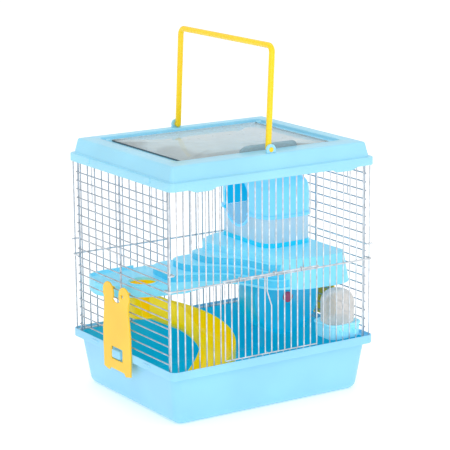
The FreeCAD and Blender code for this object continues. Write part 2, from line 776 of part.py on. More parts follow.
def make_low_platform():
    """Left platform with a hole for the slide, a skirt and a raised back rim."""
    bottom = low_top_z - low_skirt
    outline = low_outline()
    inner = pushed_out(outline, -platform_wall)
    plate = smooth_prism(outline, bottom, low_top_z)
    plate = plate.cut(smooth_prism(inner, bottom - 1.0, low_top_z - platform_wall))
    rim = smooth_prism(outline, low_top_z, low_top_z + low_rim)
    rim = rim.cut(smooth_prism(inner, low_top_z - 1.0, low_top_z + low_rim + 1.0))
    rim = rim.common(box(-half_x, -64.0, hole_y + hole_r + 12.0, half_y, 0, plateau_z))
    collar = Part.makeCylinder(hole_r + 1.8, 1.4, V(hole_x, hole_y, low_top_z))
    hole = Part.makeCylinder(hole_r, 40.0, V(hole_x, hole_y, low_top_z - 20.0))
    clear = smooth_prism(pushed_out(high_outline(), lambda y: flare(y) + 0.05),
                         bottom - 2.0, low_top_z + 2.0)
    return plate.fuse([rim, collar]).removeSplitter().cut([hole, clear, under_stairs()])


def make_stairs():
    """Three curved steps from the low platform to the high one, hollow underneath."""
    base = low_top_z + 0.02
    outer = None
    gap = None
    for level in range(3):
        outline = step_outline(level)
        top = low_top_z + (level + 1) * step_rise
        step = smooth_prism(outline, base, top)
        hollow = smooth_prism(pushed_out(outline, -platform_wall), base - 1.0,
                              top - platform_wall)
        outer = step if outer is None else outer.fuse(step)
        gap = hollow if gap is None else gap.fuse(hollow)
    return outer.cut(gap).cut(high_solid(-0.05)).removeSplitter()


def make_high_platform():
    shell = high_solid(0.0)
    hollow = high_solid(platform_wall)
    hollow.translate(V(0, 0, -platform_wall))
    return shell.cut(hollow)


def make_platform_clip(index, z, reach, platform):
    """Clip round a back upright, with an arm to the platform's skirt."""
    inner = wire_r + 0.05
    x = front_x(index)
    height = 6.0
    ring = Part.makeCylinder(inner + 1.2, height, V(x, wire_plane_y, z))
    arm = box(x - 2.0, x + 2.0, reach, wire_plane_y, z, z + height)
    bore = Part.makeCylinder(inner, height, V(x, wire_plane_y, z))
    mouth = box(x - inner * 0.7, x + inner * 0.7, wire_plane_y, wire_plane_y + 4.0,
                z, z + height)
    return max(ring.fuse(arm).cut([bore, mouth, platform]).Solids, key=lambda s: s.Volume)


def make_platform_clips(low, high):
    """Clips that hang the platforms on the back wall's uprights."""
    clips = [make_platform_clip(i, low_top_z - 12.0, inner_y - 1.5, low) for i in (6, 8)]
    clips += [make_platform_clip(i, high_top_z - 20.0, 95.0, high) for i in (22, 25)]
    return clips


# ---------------------------------------------------------------- slide
def slide_section(point, heading, width, done):
    """Upright U section across the run at a floor point; done is 0 at the top, 1 below."""
    side = V(-heading.y, heading.x, 0)
    up = V(0, 0, 1)

    def at(across, height):
        return point + side * across + up * height

    w, r, t = width / 2, slide_round, slide_wall
    d = slide_depth[0] + (slide_depth[1] - slide_depth[0]) * done
    k = 1 - math.sqrt(0.5)
    ri = r - t
    edges = [
        Part.LineSegment(at(-w, d), at(-w, r)),
        Part.Arc(at(-w, r), at(-w + r * k, r * k), at(-w + r, 0)),
        Part.LineSegment(at(-w + r, 0), at(w - r, 0)),
        Part.Arc(at(w - r, 0), at(w - r * k, r * k), at(w, r)),
        Part.LineSegment(at(w, r), at(w, d)),
        Part.LineSegment(at(w, d), at(w - t, d)),
        Part.LineSegment(at(w - t, d), at(w - t, r)),
        Part.Arc(at(w - t, r), at(w - t - ri * k, t + ri * k), at(w - r, t)),
        Part.LineSegment(at(w - r, t), at(-w + r, t)),
        Part.Arc(at(-w + r, t), at(-w + t + ri * k, t + ri * k), at(-w + t, r)),
        Part.LineSegment(at(-w + t, r), at(-w + t, d)),
        Part.LineSegment(at(-w + t, d), at(-w, d)),
    ]
    return Part.Wire([e.toShape() for e in edges])


def make_slide():
    """Chute from the platform's hole, one straight run and then a falling curve."""
    centre = V(slide_centre[0], slide_centre[1], 0)
    hole = V(hole_x, hole_y, 0)
    away = hole - centre
    start_angle = math.degrees(math.atan2(away.y, away.x)
                               - math.acos(slide_turn_r / away.Length))
    tangent = centre + V(math.cos(math.radians(start_angle)),
                         math.sin(math.radians(start_angle)), 0) * slide_turn_r
    straight = (tangent - hole).Length
    sweep = start_angle - slide_end_angle
    curve = math.radians(sweep) * slide_turn_r
    fall = (slide_top_floor - slide_end_floor) / (straight + curve)
    heading = (tangent - hole).normalize()
    length = straight + curve
    cup_r = hole_r + slide_wall + slide_ring_play
    run_wires = []
    for s, width in ((0.0, 2 * cup_r), (straight, slide_width)):
        point = hole + heading * s
        point.z = slide_top_floor - fall * s
        run_wires.append(slide_section(point, heading, width, s / length))
    run = Part.makeLoft(run_wires, True, True)
    turn_wires = []
    steps = 14
    for i in range(steps + 1):
        angle = math.radians(start_angle - sweep * i / steps)
        point = centre + V(math.cos(angle), math.sin(angle), 0) * slide_turn_r
        point.z = slide_top_floor - fall * (straight + curve * i / steps)
        done = (straight + curve * i / steps) / length
        turn_wires.append(slide_section(point, V(math.sin(angle), -math.cos(angle), 0),
                                        slide_width, done))
    turn = Part.makeLoft(turn_wires, True, False)
    return make_cup(cup_r, hole, heading).fuse([run, turn]).removeSplitter().cut(skirt_slot())


def skirt_slot():
    """Room in the slide's walls for the low platform's skirt."""
    z0 = low_top_z - low_skirt - slide_ring_play
    outer = smooth_prism(pushed_out(low_outline(), slide_ring_play), z0, low_top_z + 1.0)
    inner = pushed_out(low_outline(), -platform_wall - slide_ring_play)
    return outer.cut(smooth_prism(inner, z0 - 1.0, low_top_z + 2.0))


def make_cup(radius, hole, heading):
    """Entry cup round the platform's hole, open below its rim ring where the chute leaves."""
    top = low_top_z - platform_wall - 0.3
    ring_foot = slide_top_floor + slide_depth[0] - 1.0
    middle = V(hole.x, hole.y, slide_top_floor)
    cup = Part.makeCylinder(radius, top - slide_top_floor, middle)
    bowl = Part.makeCylinder(radius - slide_wall, top - slide_top_floor,
                             middle + V(0, 0, slide_wall))
    across = V(-heading.y, heading.x, 0) * 60.0
    a = hole - across
    b = a + heading * 60.0
    c = b + across * 2
    d = a + across * 2
    ahead = Part.Face(Part.makePolygon([a, b, c, d, a])).extrude(V(0, 0, ring_foot))
    return cup.cut([bowl, ahead])


# ---------------------------------------------------------------- hide house
def house_prism(inset, z0, z1):
    x0, x1 = house_x
    y0, y1 = house_y
    return prism(x0 + inset, x1 - inset, y0 + inset, y1 - inset, house_corner_r - inset,
                 z0, z1)


def doorway(z_base, z_top_open):
    """U-shaped opening through the left face: round foot, straight sides."""
    r = doorway_width / 2
    x0 = house_x[0] - house_lip_out - 2.0
    reach = house_lip_out + 2.0 + house_wall + 6.0
    middle = z_base + doorway_sill + r
    foot = Part.makeCylinder(r, reach, V(x0, doorway_y, middle), V(1, 0, 0))
    if z_top_open <= middle + 0.1:
        return foot
    return foot.fuse(box(x0, x0 + reach, doorway_y - r, doorway_y + r, middle, z_top_open))


def make_house_ring():
    z0 = high_top_z + 0.05
    outer = house_prism(0.0, z0, z0 + house_ring_height)
    return outer.cut(house_prism(house_wall + 1.2, z0 - 1.0, z0 + house_ring_height + 1.0))


def make_house_body():
    z0 = high_top_z + 0.1 + house_ring_height
    z1 = z0 + house_body_height
    shell = house_prism(0.6, z0, z1).cut(house_prism(0.6 + house_wall, z0 - 1, z1 + 1))
    return shell.cut(doorway(high_top_z, z1 + 1.0))


def make_doorway_rim():
    """Raised rim round the doorway's foot, on the body's left face."""
    r = doorway_width / 2
    wide, proud = doorway_rim
    x1 = house_x[0] + 0.58
    z = high_top_z + doorway_sill + r
    top = high_top_z + 0.1 + house_ring_height + house_body_height
    ring = Part.makeCylinder(r + wide, proud, V(x1 - proud, doorway_y, z), V(1, 0, 0))
    bore = Part.makeCylinder(r, proud + 2.0, V(x1 - proud - 1.0, doorway_y, z), V(1, 0, 0))
    below = box(x1 - proud, x1, doorway_y - 50.0, doorway_y + 50.0, z - r - wide, top)
    return ring.common(below).cut(bore)


def make_house_roof():
    z0 = high_top_z + 0.2 + house_ring_height + house_body_height
    lip = house_prism(-house_lip_out, z0, z0 + house_lip_height)
    dome = house_prism(0.0, z0, z0 + house_roof_height)
    top = [e for e in dome.Edges if e.BoundBox.ZMin > z0 + house_roof_height - 1e-6]
    dome = dome.makeFillet(min(house_roof_round, house_corner_r - 1.0), top)
    inner_h = house_roof_height - house_wall
    inner = house_prism(house_wall, z0 - 1.0, z0 + inner_h)
    top = [e for e in inner.Edges if e.BoundBox.ZMin > z0 + inner_h - 1e-6]
    inner_round = min(house_roof_round, house_corner_r - 1.0) - house_wall
    inner = inner.makeFillet(inner_round, top)
    roof = dome.fuse(lip).cut(inner)
    r = doorway_width / 2
    head_z = high_top_z + doorway_head - r
    x0 = house_x[0] - house_lip_out - 2.0
    arch = Part.makeCylinder(r, 18.0, V(x0, doorway_y, head_z), V(1, 0, 0))
    slot = box(x0, x0 + 18.0, doorway_y - r, doorway_y + r, z0 - 1.0, head_z)
    return roof.cut([arch, slot]).removeSplitter()


# ---------------------------------------------------------------- running wheel
def make_wheel():
    """Closed front disc, running track and hub, open at the back."""
    y0 = wheel_y
    drum = Part.makeCylinder(wheel_r, wheel_depth, V(wheel_x, y0, wheel_z), V(0, 1, 0))
    hollow = Part.makeCylinder(wheel_r - wheel_wall, wheel_depth,
                               V(wheel_x, y0 + wheel_wall, wheel_z), V(0, 1, 0))
    hub = Part.makeCylinder(hub_r, hub_length, V(wheel_x, y0, wheel_z), V(0, 1, 0))
    bore = Part.makeCylinder(axle_r + axle_play, hub_length + 2,
                             V(wheel_x, y0 - 1, wheel_z), V(0, 1, 0))
    ribs = []
    for i in range(8):
        rib = box(hub_r - 1, wheel_r - wheel_wall / 2, y0 + wheel_wall / 2,
                  y0 + wheel_wall + 3.0, -0.9, 0.9)
        rib.rotate(V(0, 0, 0), V(0, 1, 0), 45.0 * i + 22.5)
        rib.translate(V(wheel_x, 0, wheel_z))
        ribs.append(rib)
    return drum.cut(hollow).fuse([hub] + ribs).cut(bore).removeSplitter()


def make_hub_cap():
    """Cap over the axle's end, on the wheel's front."""
    y1 = wheel_y - 0.02
    cap = Part.makeCylinder(hub_cap_r, hub_cap_depth, V(wheel_x, y1 - hub_cap_depth, wheel_z),
                            V(0, 1, 0))
    front = [e for e in cap.Edges if e.BoundBox.YMax < y1 - hub_cap_depth + 1e-6]
    cap = cap.makeFillet(1.8, front)
    well = Part.makeCylinder(axle_r + 0.6, 2.0, V(wheel_x, y1 - 2.0, wheel_z), V(0, 1, 0))
    return cap.cut(well)


def make_axle():
    y0 = wheel_y - 1.2
    y1 = wheel_y + wheel_depth + bracket_gap + bracket_thickness
    return Part.makeCylinder(axle_r, y1 - y0, V(wheel_x, y0, wheel_z), V(0, 1, 0))


def make_bracket():
    """Hanger from the high platform's underside to the axle, behind the wheel."""
    y0 = wheel_y + wheel_depth + bracket_gap
    y1 = y0 + bracket_thickness
    top = high_top_z - platform_wall - 0.05
    half = bracket_width / 2
    plate = box(wheel_x - half, wheel_x + half, y0, y1, wheel_z, top)
    eye = Part.makeCylinder(half, y1 - y0, V(wheel_x, y0, wheel_z), V(0, 1, 0))
    flange = box(wheel_x - half, wheel_x + half, y0, y0 + 18.0, top - 3.0, top)
    bore = Part.makeCylinder(axle_r, 30.0, V(wheel_x, y0 - 5.0, wheel_z), V(0, 1, 0))
    window = box(wheel_x - half + 6, wheel_x + half - 6, y0 - 1, y1 + 1,
                 wheel_z + half + 4, top - 8.0)
    return plate.fuse([eye, flange]).cut([bore, window]).removeSplitter()


# ---------------------------------------------------------------- feeder
def make_feeder_base():
    """Rounded cup with a thicker lip, hung in the front right corner."""
    x0, x1 = feeder_x
    y0, y1 = feeder_y
    z1 = feeder_z + feeder_height

    def layer(inset, low, high):
        return prism(x0 + inset, x1 - inset, y0 + inset, y1 - inset,
                     feeder_corner_r - inset, low, high)

    cup = layer(feeder_lip, feeder_z, z1)
    low_edges = [e for e in cup.Edges if e.BoundBox.ZMax < feeder_z + 1e-6]
    cup = cup.makeFillet(5.0, low_edges)
    lip = layer(0.0, z1 - 2.6, z1)
    hollow = layer(feeder_lip + feeder_wall, feeder_z + feeder_wall, z1 + 1.0)
    low_edges = [e for e in hollow.Edges if e.BoundBox.ZMax < feeder_z + feeder_wall + 1e-6]
    hollow = hollow.makeFillet(1.2, low_edges)
    return cup.fuse(lip).cut(hollow).removeSplitter()


def make_feeder_clips():
    """Clips from the feeder cup's front to two uprights of the front wall."""
    clips = []
    inner = wire_r + 0.05
    for index in (25, 27):
        x = front_x(index)
        z = feeder_z + 7.0
        ring = Part.makeCylinder(inner + 1.2, 6.0, V(x, -wire_plane_y, z))
        arm = box(x - 2.0, x + 2.0, -wire_plane_y, feeder_y[0] + feeder_lip - 0.02,
                  z, z + 6.0)
        bore = Part.makeCylinder(inner, 6.0, V(x, -wire_plane_y, z))
        mouth = box(x - inner * 0.7, x + inner * 0.7, -wire_plane_y - 4.0, -wire_plane_y,
                    z, z + 6.0)
        clips.append(ring.fuse(arm).cut([bore, mouth]))
    return clips


def make_feeder_dome():
    """Clear hopper: straight skirt on the cup's floor and a round crown."""
    x = (feeder_x[0] + feeder_x[1]) / 2
    y = (feeder_y[0] + feeder_y[1]) / 2
    z0 = feeder_z + feeder_wall + 0.05
    tall = dome_height + feeder_height

    def bell(radius, base):
        body = Part.makeCylinder(radius, tall, V(x, y, base))
        crown = [e for e in body.Edges if e.BoundBox.ZMin > base + tall - 1e-6]
        return body.makeFillet(radius * 0.8, crown)

    shell = bell(dome_r - 3.0, z0).cut(bell(dome_r - 3.0 - dome_wall, z0 - dome_wall))
    wide = bell(dome_r, z0).cut(bell(dome_r - dome_wall, z0 - dome_wall))
    above = box(-half_x, half_x, -half_y, half_y, z0 + feeder_height, plateau_z)
    shell = shell.cut(above)
    seat = Part.makeCylinder(dome_r, 2.0, V(x, y, z0 + feeder_height - 2.0))
    seat = seat.cut(Part.makeCylinder(dome_r - 3.0 - dome_wall, 4.0,
                                      V(x, y, z0 + feeder_height - 3.0)))
    feet = box(x - 9, x + 9, y - dome_r - 1, y + dome_r + 1, z0 - 1, z0 + 8.0)
    return wide.common(above).fuse([shell, seat]).cut(feet).removeSplitter()


# ---------------------------------------------------------------- build
def main():
    os.makedirs("parts", exist_ok=True)
    save("base_tray", make_tray())
    save("front_wall", make_front_wall())
    save("front_wall_rails", [make_hooked_rail(),
                              long_rail(-rail_y, foot_rail_z, rail_r),
                              long_rail(-rail_y, top_rail_z, rail_r)])
    save("back_wall", make_back_wall())
    save("back_wall_rails", [half_turn(make_hooked_rail()),
                             long_rail(rail_y, foot_rail_z, rail_r),
                             long_rail(rail_y, top_rail_z, rail_r)])
    side = make_side_wall()
    save("left_wall", side)
    save("right_wall", [half_turn(s) for s in side])
    save("left_wall_rail", make_side_rail())
    save("right_wall_rail", half_turn(make_side_rail()))
    save("lid_clip_wires", make_lid_wires())
    save("front_door", make_door_frame())
    save("door_hinge_loops", make_door_loops())
    save("door_latch_bar", make_latch_bar())
    save("door_latch_hook", make_latch_hook())
    save("lid_frame", make_lid())
    save("handle_socket_front", make_socket(-1))
    save("handle_socket_back", make_socket(1))
    save("hatch_panel", make_panel())
    save("hatch_grip", make_grip())
    save("hatch_hinge_pins", make_hinge_pins())
    save("hatch_hinge_lugs", make_hinge_lugs())
    bail = make_handle()
    save("carry_handle", bail)
    save("handle_pegs", make_handle_pegs(bail))
    plate = make_latch_plate()
    clips = make_latch_clips()
    save("latch_left", plate)
    save("latch_clips_left", clips)
    save("latch_right", half_turn(plate))
    save("latch_clips_right", [half_turn(c) for c in clips])
    low = make_low_platform()
    high = make_high_platform()
    save("low_platform", low)
    save("stairs", make_stairs())
    save("high_platform", high)
    save("platform_clips", make_platform_clips(low, high))
    save("slide", make_slide())
    save("house_ring", make_house_ring())
    save("house_body", make_house_body())
    save("house_doorway_rim", make_doorway_rim())
    save("house_roof", make_house_roof())
    save("wheel", make_wheel())
    save("wheel_hub_cap", make_hub_cap())
    save("wheel_axle", make_axle())
    save("wheel_bracket", make_bracket())
    save("feeder_base", make_feeder_base())
    save("feeder_clips", make_feeder_clips())
    save("feeder_dome", make_feeder_dome())


main()
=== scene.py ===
"""Hamster cage: wire body, moulded tray and lid, folding handle and furniture.

Every piece is built in metres in the cage's own frame and rides on a body of the
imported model. Sizes in the classes are millimetres. Sub-assemblies are classes that
hold their sizes; finishes are small classes that build procedural materials.
"""

import logging
import math
from dataclasses import dataclass
from enum import Enum
from typing import Dict, List, Optional, Sequence, Tuple

import bmesh
import bpy
import numpy as np
from mathutils import Matrix, Vector

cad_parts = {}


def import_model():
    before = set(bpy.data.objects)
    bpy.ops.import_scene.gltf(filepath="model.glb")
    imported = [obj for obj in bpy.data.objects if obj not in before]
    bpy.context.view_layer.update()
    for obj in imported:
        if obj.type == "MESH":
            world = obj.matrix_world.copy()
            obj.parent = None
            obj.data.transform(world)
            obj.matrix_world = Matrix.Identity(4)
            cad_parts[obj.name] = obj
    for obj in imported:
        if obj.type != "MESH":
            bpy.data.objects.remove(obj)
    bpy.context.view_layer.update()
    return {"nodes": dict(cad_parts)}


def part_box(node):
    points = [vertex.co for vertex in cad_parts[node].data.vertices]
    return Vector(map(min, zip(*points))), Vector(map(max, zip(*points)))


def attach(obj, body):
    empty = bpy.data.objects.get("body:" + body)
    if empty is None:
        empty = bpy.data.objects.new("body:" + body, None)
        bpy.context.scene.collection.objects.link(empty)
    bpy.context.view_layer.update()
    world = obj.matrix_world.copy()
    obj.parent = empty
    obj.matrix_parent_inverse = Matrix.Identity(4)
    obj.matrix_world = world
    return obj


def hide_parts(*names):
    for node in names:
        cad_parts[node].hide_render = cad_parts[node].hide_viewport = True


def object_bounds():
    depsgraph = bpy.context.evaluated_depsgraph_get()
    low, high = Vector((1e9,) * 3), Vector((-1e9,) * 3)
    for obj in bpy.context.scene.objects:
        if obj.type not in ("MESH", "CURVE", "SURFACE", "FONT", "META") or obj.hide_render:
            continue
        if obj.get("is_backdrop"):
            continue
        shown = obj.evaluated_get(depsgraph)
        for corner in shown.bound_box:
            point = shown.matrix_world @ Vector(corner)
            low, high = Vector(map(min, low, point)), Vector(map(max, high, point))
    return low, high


LOG = logging.getLogger("cage")
MM = 0.001
Colour = Tuple[float, float, float]
Point = Tuple[float, float, float]
Rect = Tuple[float, float, float, float, float, float]


# ------------------------------------------------------------------ finishes
def linear(colour: Colour) -> Tuple[float, float, float, float]:
    """Turn an sRGB colour into the linear one a shader wants.

    Args:
        colour: red, green and blue, each 0 to 1, as seen on a screen.
    Returns:
        Linear red, green, blue and an alpha of 1.
    """
    c = np.asarray(colour, float)
    low = c / 12.92
    high = ((c + 0.055) / 1.055) ** 2.4
    r, g, b = np.where(c <= 0.04045, low, high)
    return float(r), float(g), float(b), 1.0


class Nodes:
    """Small helper for laying out one material's node tree."""

    def __init__(self, name: str) -> None:
        """Start an empty material.

        Args:
            name: the material's name.
        """
        self.material = bpy.data.materials.new(name)
        self.material.use_nodes = True
        self.tree = self.material.node_tree
        self.tree.nodes.clear()
        self.out = self.add("ShaderNodeOutputMaterial")

    def add(self, kind: str, **settings: object) -> bpy.types.Node:
        """Add a node and set its properties or its unlinked inputs.

        Args:
            kind: the node's type name.
            settings: attribute or input name to value; spaces are underscores.
        Returns:
            The new node.
        """
        node = self.tree.nodes.new(kind)
        for key, value in settings.items():
            if hasattr(node, key):
                setattr(node, key, value)
            else:
                node.inputs[key.replace("_", " ")].default_value = value
        return node

    def link(self, a: bpy.types.NodeSocket, b: bpy.types.NodeSocket) -> None:
        """Join an output socket to an input socket."""
        self.tree.links.new(a, b)

    def position(self) -> bpy.types.NodeSocket:
        """Return the Object coordinate socket."""
        return self.add("ShaderNodeTexCoord").outputs["Object"]

    def noise(self, scale: float, detail: float = 3.0, rough: float = 0.5) -> bpy.types.Node:
        """Add noise on Object coordinates.

        Args:
            scale: noise cells in a metre.
            detail: octaves.
            rough: roughness of the octaves.
        Returns:
            The noise node.
        """
        node = self.add("ShaderNodeTexNoise", Scale=scale, Detail=detail, Roughness=rough)
        self.link(self.position(), node.inputs["Vector"])
        return node

    def ramp(self, source: bpy.types.NodeSocket, low: Colour, high: Colour,
             start: float = 0.3, end: float = 0.7) -> bpy.types.NodeSocket:
        """Blend two colours by a factor.

        Args:
            source: the factor's socket.
            low: colour at the start.
            high: colour at the end.
            start: factor where the blend starts.
            end: factor where it ends.
        Returns:
            The blended colour's socket.
        """
        node = self.add("ShaderNodeValToRGB")
        first, last = node.color_ramp.elements
        first.position, last.position = start, end
        first.color, last.color = linear(low), linear(high)
        self.link(source, node.inputs["Fac"])
        return node.outputs["Color"]

    def bump(self, source: bpy.types.NodeSocket, strength: float,
             distance: float) -> bpy.types.NodeSocket:
        """Add a bump from a height socket.

        Args:
            source: the height's socket.
            strength: 0 to 1.
            distance: height of the bump in metres.
        Returns:
            The normal socket.
        """
        node = self.add("ShaderNodeBump", Strength=strength, Distance=distance)
        self.link(source, node.inputs["Height"])
        return node.outputs["Normal"]

    def spread(self, source: bpy.types.NodeSocket, low: float,
               high: float) -> bpy.types.NodeSocket:
        """Map a factor of 0 to 1 on to low to high.

        Args:
            source: the factor's socket.
            low: value at 0.
            high: value at 1.
        Returns:
            The mapped value's socket.
        """
        node = self.add("ShaderNodeMapRange")
        node.inputs["To Min"].default_value = low
        node.inputs["To Max"].default_value = high
        self.link(source, node.inputs["Value"])
        return node.outputs["Result"]


def tinted(colour: Colour, factor: float) -> Colour:
    """Scale a colour's channels, held inside 0 to 1."""
    r, g, b = (min(1.0, c * factor) for c in colour)
    return r, g, b


@dataclass(frozen=True)
class MouldedPlastic:
    """Injection-moulded plastic: slight cloudiness, fine grain and a soft gloss, with a painted
    glow of its own colour where lift is set.
    """

    name: str
    colour: Colour
    roughness: float = 0.32
    cloud: float = 0.03
    grain: float = 0.25
    glow: float = 0.12
    coat: float = 0.15
    lift: float = 0.0

    def material(self) -> bpy.types.Material:
        """Build the finish and return its material."""
        n = Nodes(self.name)
        shader = n.add("ShaderNodeBsdfPrincipled")
        cloud = n.noise(14.0, 2.0)
        tone = n.ramp(cloud.outputs["Fac"], tinted(self.colour, 1.0 - self.cloud),
                      tinted(self.colour, 1.0 + self.cloud))
        n.link(tone, shader.inputs["Base Color"])
        wear = n.noise(160.0, 4.0, 0.6)
        n.link(n.spread(wear.outputs["Fac"], self.roughness - 0.05, self.roughness + 0.07),
               shader.inputs["Roughness"])
        grain = n.noise(2600.0, 2.0)
        n.link(n.bump(grain.outputs["Fac"], self.grain, 0.00006), shader.inputs["Normal"])
        shader.inputs["Subsurface Weight"].default_value = self.glow
        shader.inputs["Subsurface Radius"].default_value = (0.004, 0.006, 0.008)
        shader.inputs["Subsurface Scale"].default_value = 1.0
        # Painted light: an emission of the finish's own colour, lift strong, brightens the plastic
        # though it is no lamp.
        if self.lift:
            n.link(tone, shader.inputs["Emission Color"])
            shader.inputs["Emission Strength"].default_value = self.lift
        shader.inputs["Coat Weight"].default_value = self.coat
        shader.inputs["Coat Roughness"].default_value = 0.12
        shader.inputs["IOR"].default_value = 1.49
        n.link(shader.outputs["BSDF"], n.out.inputs["Surface"])
        return n.material


@dataclass(frozen=True)
class FrostedPlastic:
    """Translucent moulding that lets some light and shape through, with a painted glow of its own
    colour.
    """

    name: str
    colour: Colour
    clear: float = 0.35
    roughness: float = 0.35
    lift: float = 0.3

    def material(self) -> bpy.types.Material:
        """Build the finish and return its material."""
        n = Nodes(self.name)
        shader = n.add("ShaderNodeBsdfPrincipled")
        cloud = n.noise(30.0, 3.0)
        tone = n.ramp(cloud.outputs["Fac"], tinted(self.colour, 0.97),
                      tinted(self.colour, 1.03))
        n.link(tone, shader.inputs["Base Color"])
        wear = n.noise(220.0, 3.0)
        n.link(n.spread(wear.outputs["Fac"], self.roughness - 0.06, self.roughness + 0.06),
               shader.inputs["Roughness"])
        # Painted light: an emission of the finish's own colour, lift strong.
        n.link(tone, shader.inputs["Emission Color"])
        shader.inputs["Emission Strength"].default_value = self.lift
        grain = n.noise(1900.0, 2.0)
        n.link(n.bump(grain.outputs["Fac"], 0.25, 0.00006), shader.inputs["Normal"])
        shader.inputs["Subsurface Weight"].default_value = 0.3
        shader.inputs["Subsurface Radius"].default_value = (0.006, 0.008, 0.01)
        shader.inputs["Subsurface Scale"].default_value = 1.0
        shader.inputs["IOR"].default_value = 1.49
        through = n.add("ShaderNodeBsdfTransparent", Color=linear(tinted(self.colour, 1.04)))
        mix = n.add("ShaderNodeMixShader")
        n.link(n.spread(cloud.outputs["Fac"], self.clear - 0.04, self.clear + 0.04),
               mix.inputs["Fac"])
        n.link(shader.outputs["BSDF"], mix.inputs[1])
        n.link(through.outputs["BSDF"], mix.inputs[2])
        n.link(mix.outputs["Shader"], n.out.inputs["Surface"])
        return n.material


@dataclass(frozen=True)
class ClearSheet:
    """Clear or smoked plastic: mostly seen through, with a gloss on top and a painted glow of its
    own colour where lift is set.
    """

    name: str
    colour: Colour
    clear: float = 0.6
    roughness: float = 0.06
    lift: float = 0.0

    def material(self) -> bpy.types.Material:
        """Build the finish and return its material."""
        n = Nodes(self.name)
        shader = n.add("ShaderNodeBsdfPrincipled")
        scuff = n.noise(90.0, 5.0, 0.65)
        tone = n.ramp(scuff.outputs["Fac"], tinted(self.colour, 0.96),
                      tinted(self.colour, 1.04))
        n.link(tone, shader.inputs["Base Color"])
        n.link(n.spread(scuff.outputs["Fac"], self.roughness, self.roughness + 0.05),
               shader.inputs["Roughness"])
        # Painted light: an emission of the finish's own colour, lift strong.
        n.link(tone, shader.inputs["Emission Color"])
        shader.inputs["Emission Strength"].default_value = self.lift
        ripple = n.noise(25.0, 1.0)
        n.link(n.bump(ripple.outputs["Fac"], 0.05, 0.0002), shader.inputs["Normal"])
        shader.inputs["IOR"].default_value = 1.49
        through = n.add("ShaderNodeBsdfTransparent", Color=linear(tinted(self.colour, 1.02)))
        edge = n.add("ShaderNodeFresnel", IOR=1.35)
        see = n.add("ShaderNodeMath", operation="MULTIPLY_ADD")
        n.link(edge.outputs["Fac"], see.inputs[0])
        see.inputs[1].default_value = -self.clear
        see.inputs[2].default_value = self.clear
        mix = n.add("ShaderNodeMixShader")
        n.link(see.outputs["Value"], mix.inputs["Fac"])
        n.link(shader.outputs["BSDF"], mix.inputs[1])
        n.link(through.outputs["BSDF"], mix.inputs[2])
        n.link(mix.outputs["Shader"], n.out.inputs["Surface"])
        return n.material


@dataclass(frozen=True)
class PlatedWire:
    """Zinc-plated drawn wire: bright, with faint drawing marks and dull patches, and a painted glow
    of its own colour where lift is set.
    """

    name: str
    colour: Colour
    roughness: float = 0.28
    lift: float = 0.0

    def material(self) -> bpy.types.Material:
        """Build the finish and return its material."""
        n = Nodes(self.name)
        shader = n.add("ShaderNodeBsdfPrincipled", Metallic=0.85)
        patch = n.noise(120.0, 3.0, 0.6)
        tone = n.ramp(patch.outputs["Fac"], tinted(self.colour, 0.86),
                      tinted(self.colour, 1.08))
        n.link(tone, shader.inputs["Base Color"])
        n.link(n.spread(patch.outputs["Fac"], self.roughness - 0.08, self.roughness + 0.14),
               shader.inputs["Roughness"])
        marks = n.noise(3000.0, 2.0)
        n.link(n.bump(marks.outputs["Fac"], 0.3, 0.00004), shader.inputs["Normal"])
        # Painted light: an emission of the finish's own colour, lift strong.
        n.link(tone, shader.inputs["Emission Color"])
        shader.inputs["Emission Strength"].default_value = self.lift
        n.link(shader.outputs["BSDF"], n.out.inputs["Surface"])
        return n.material


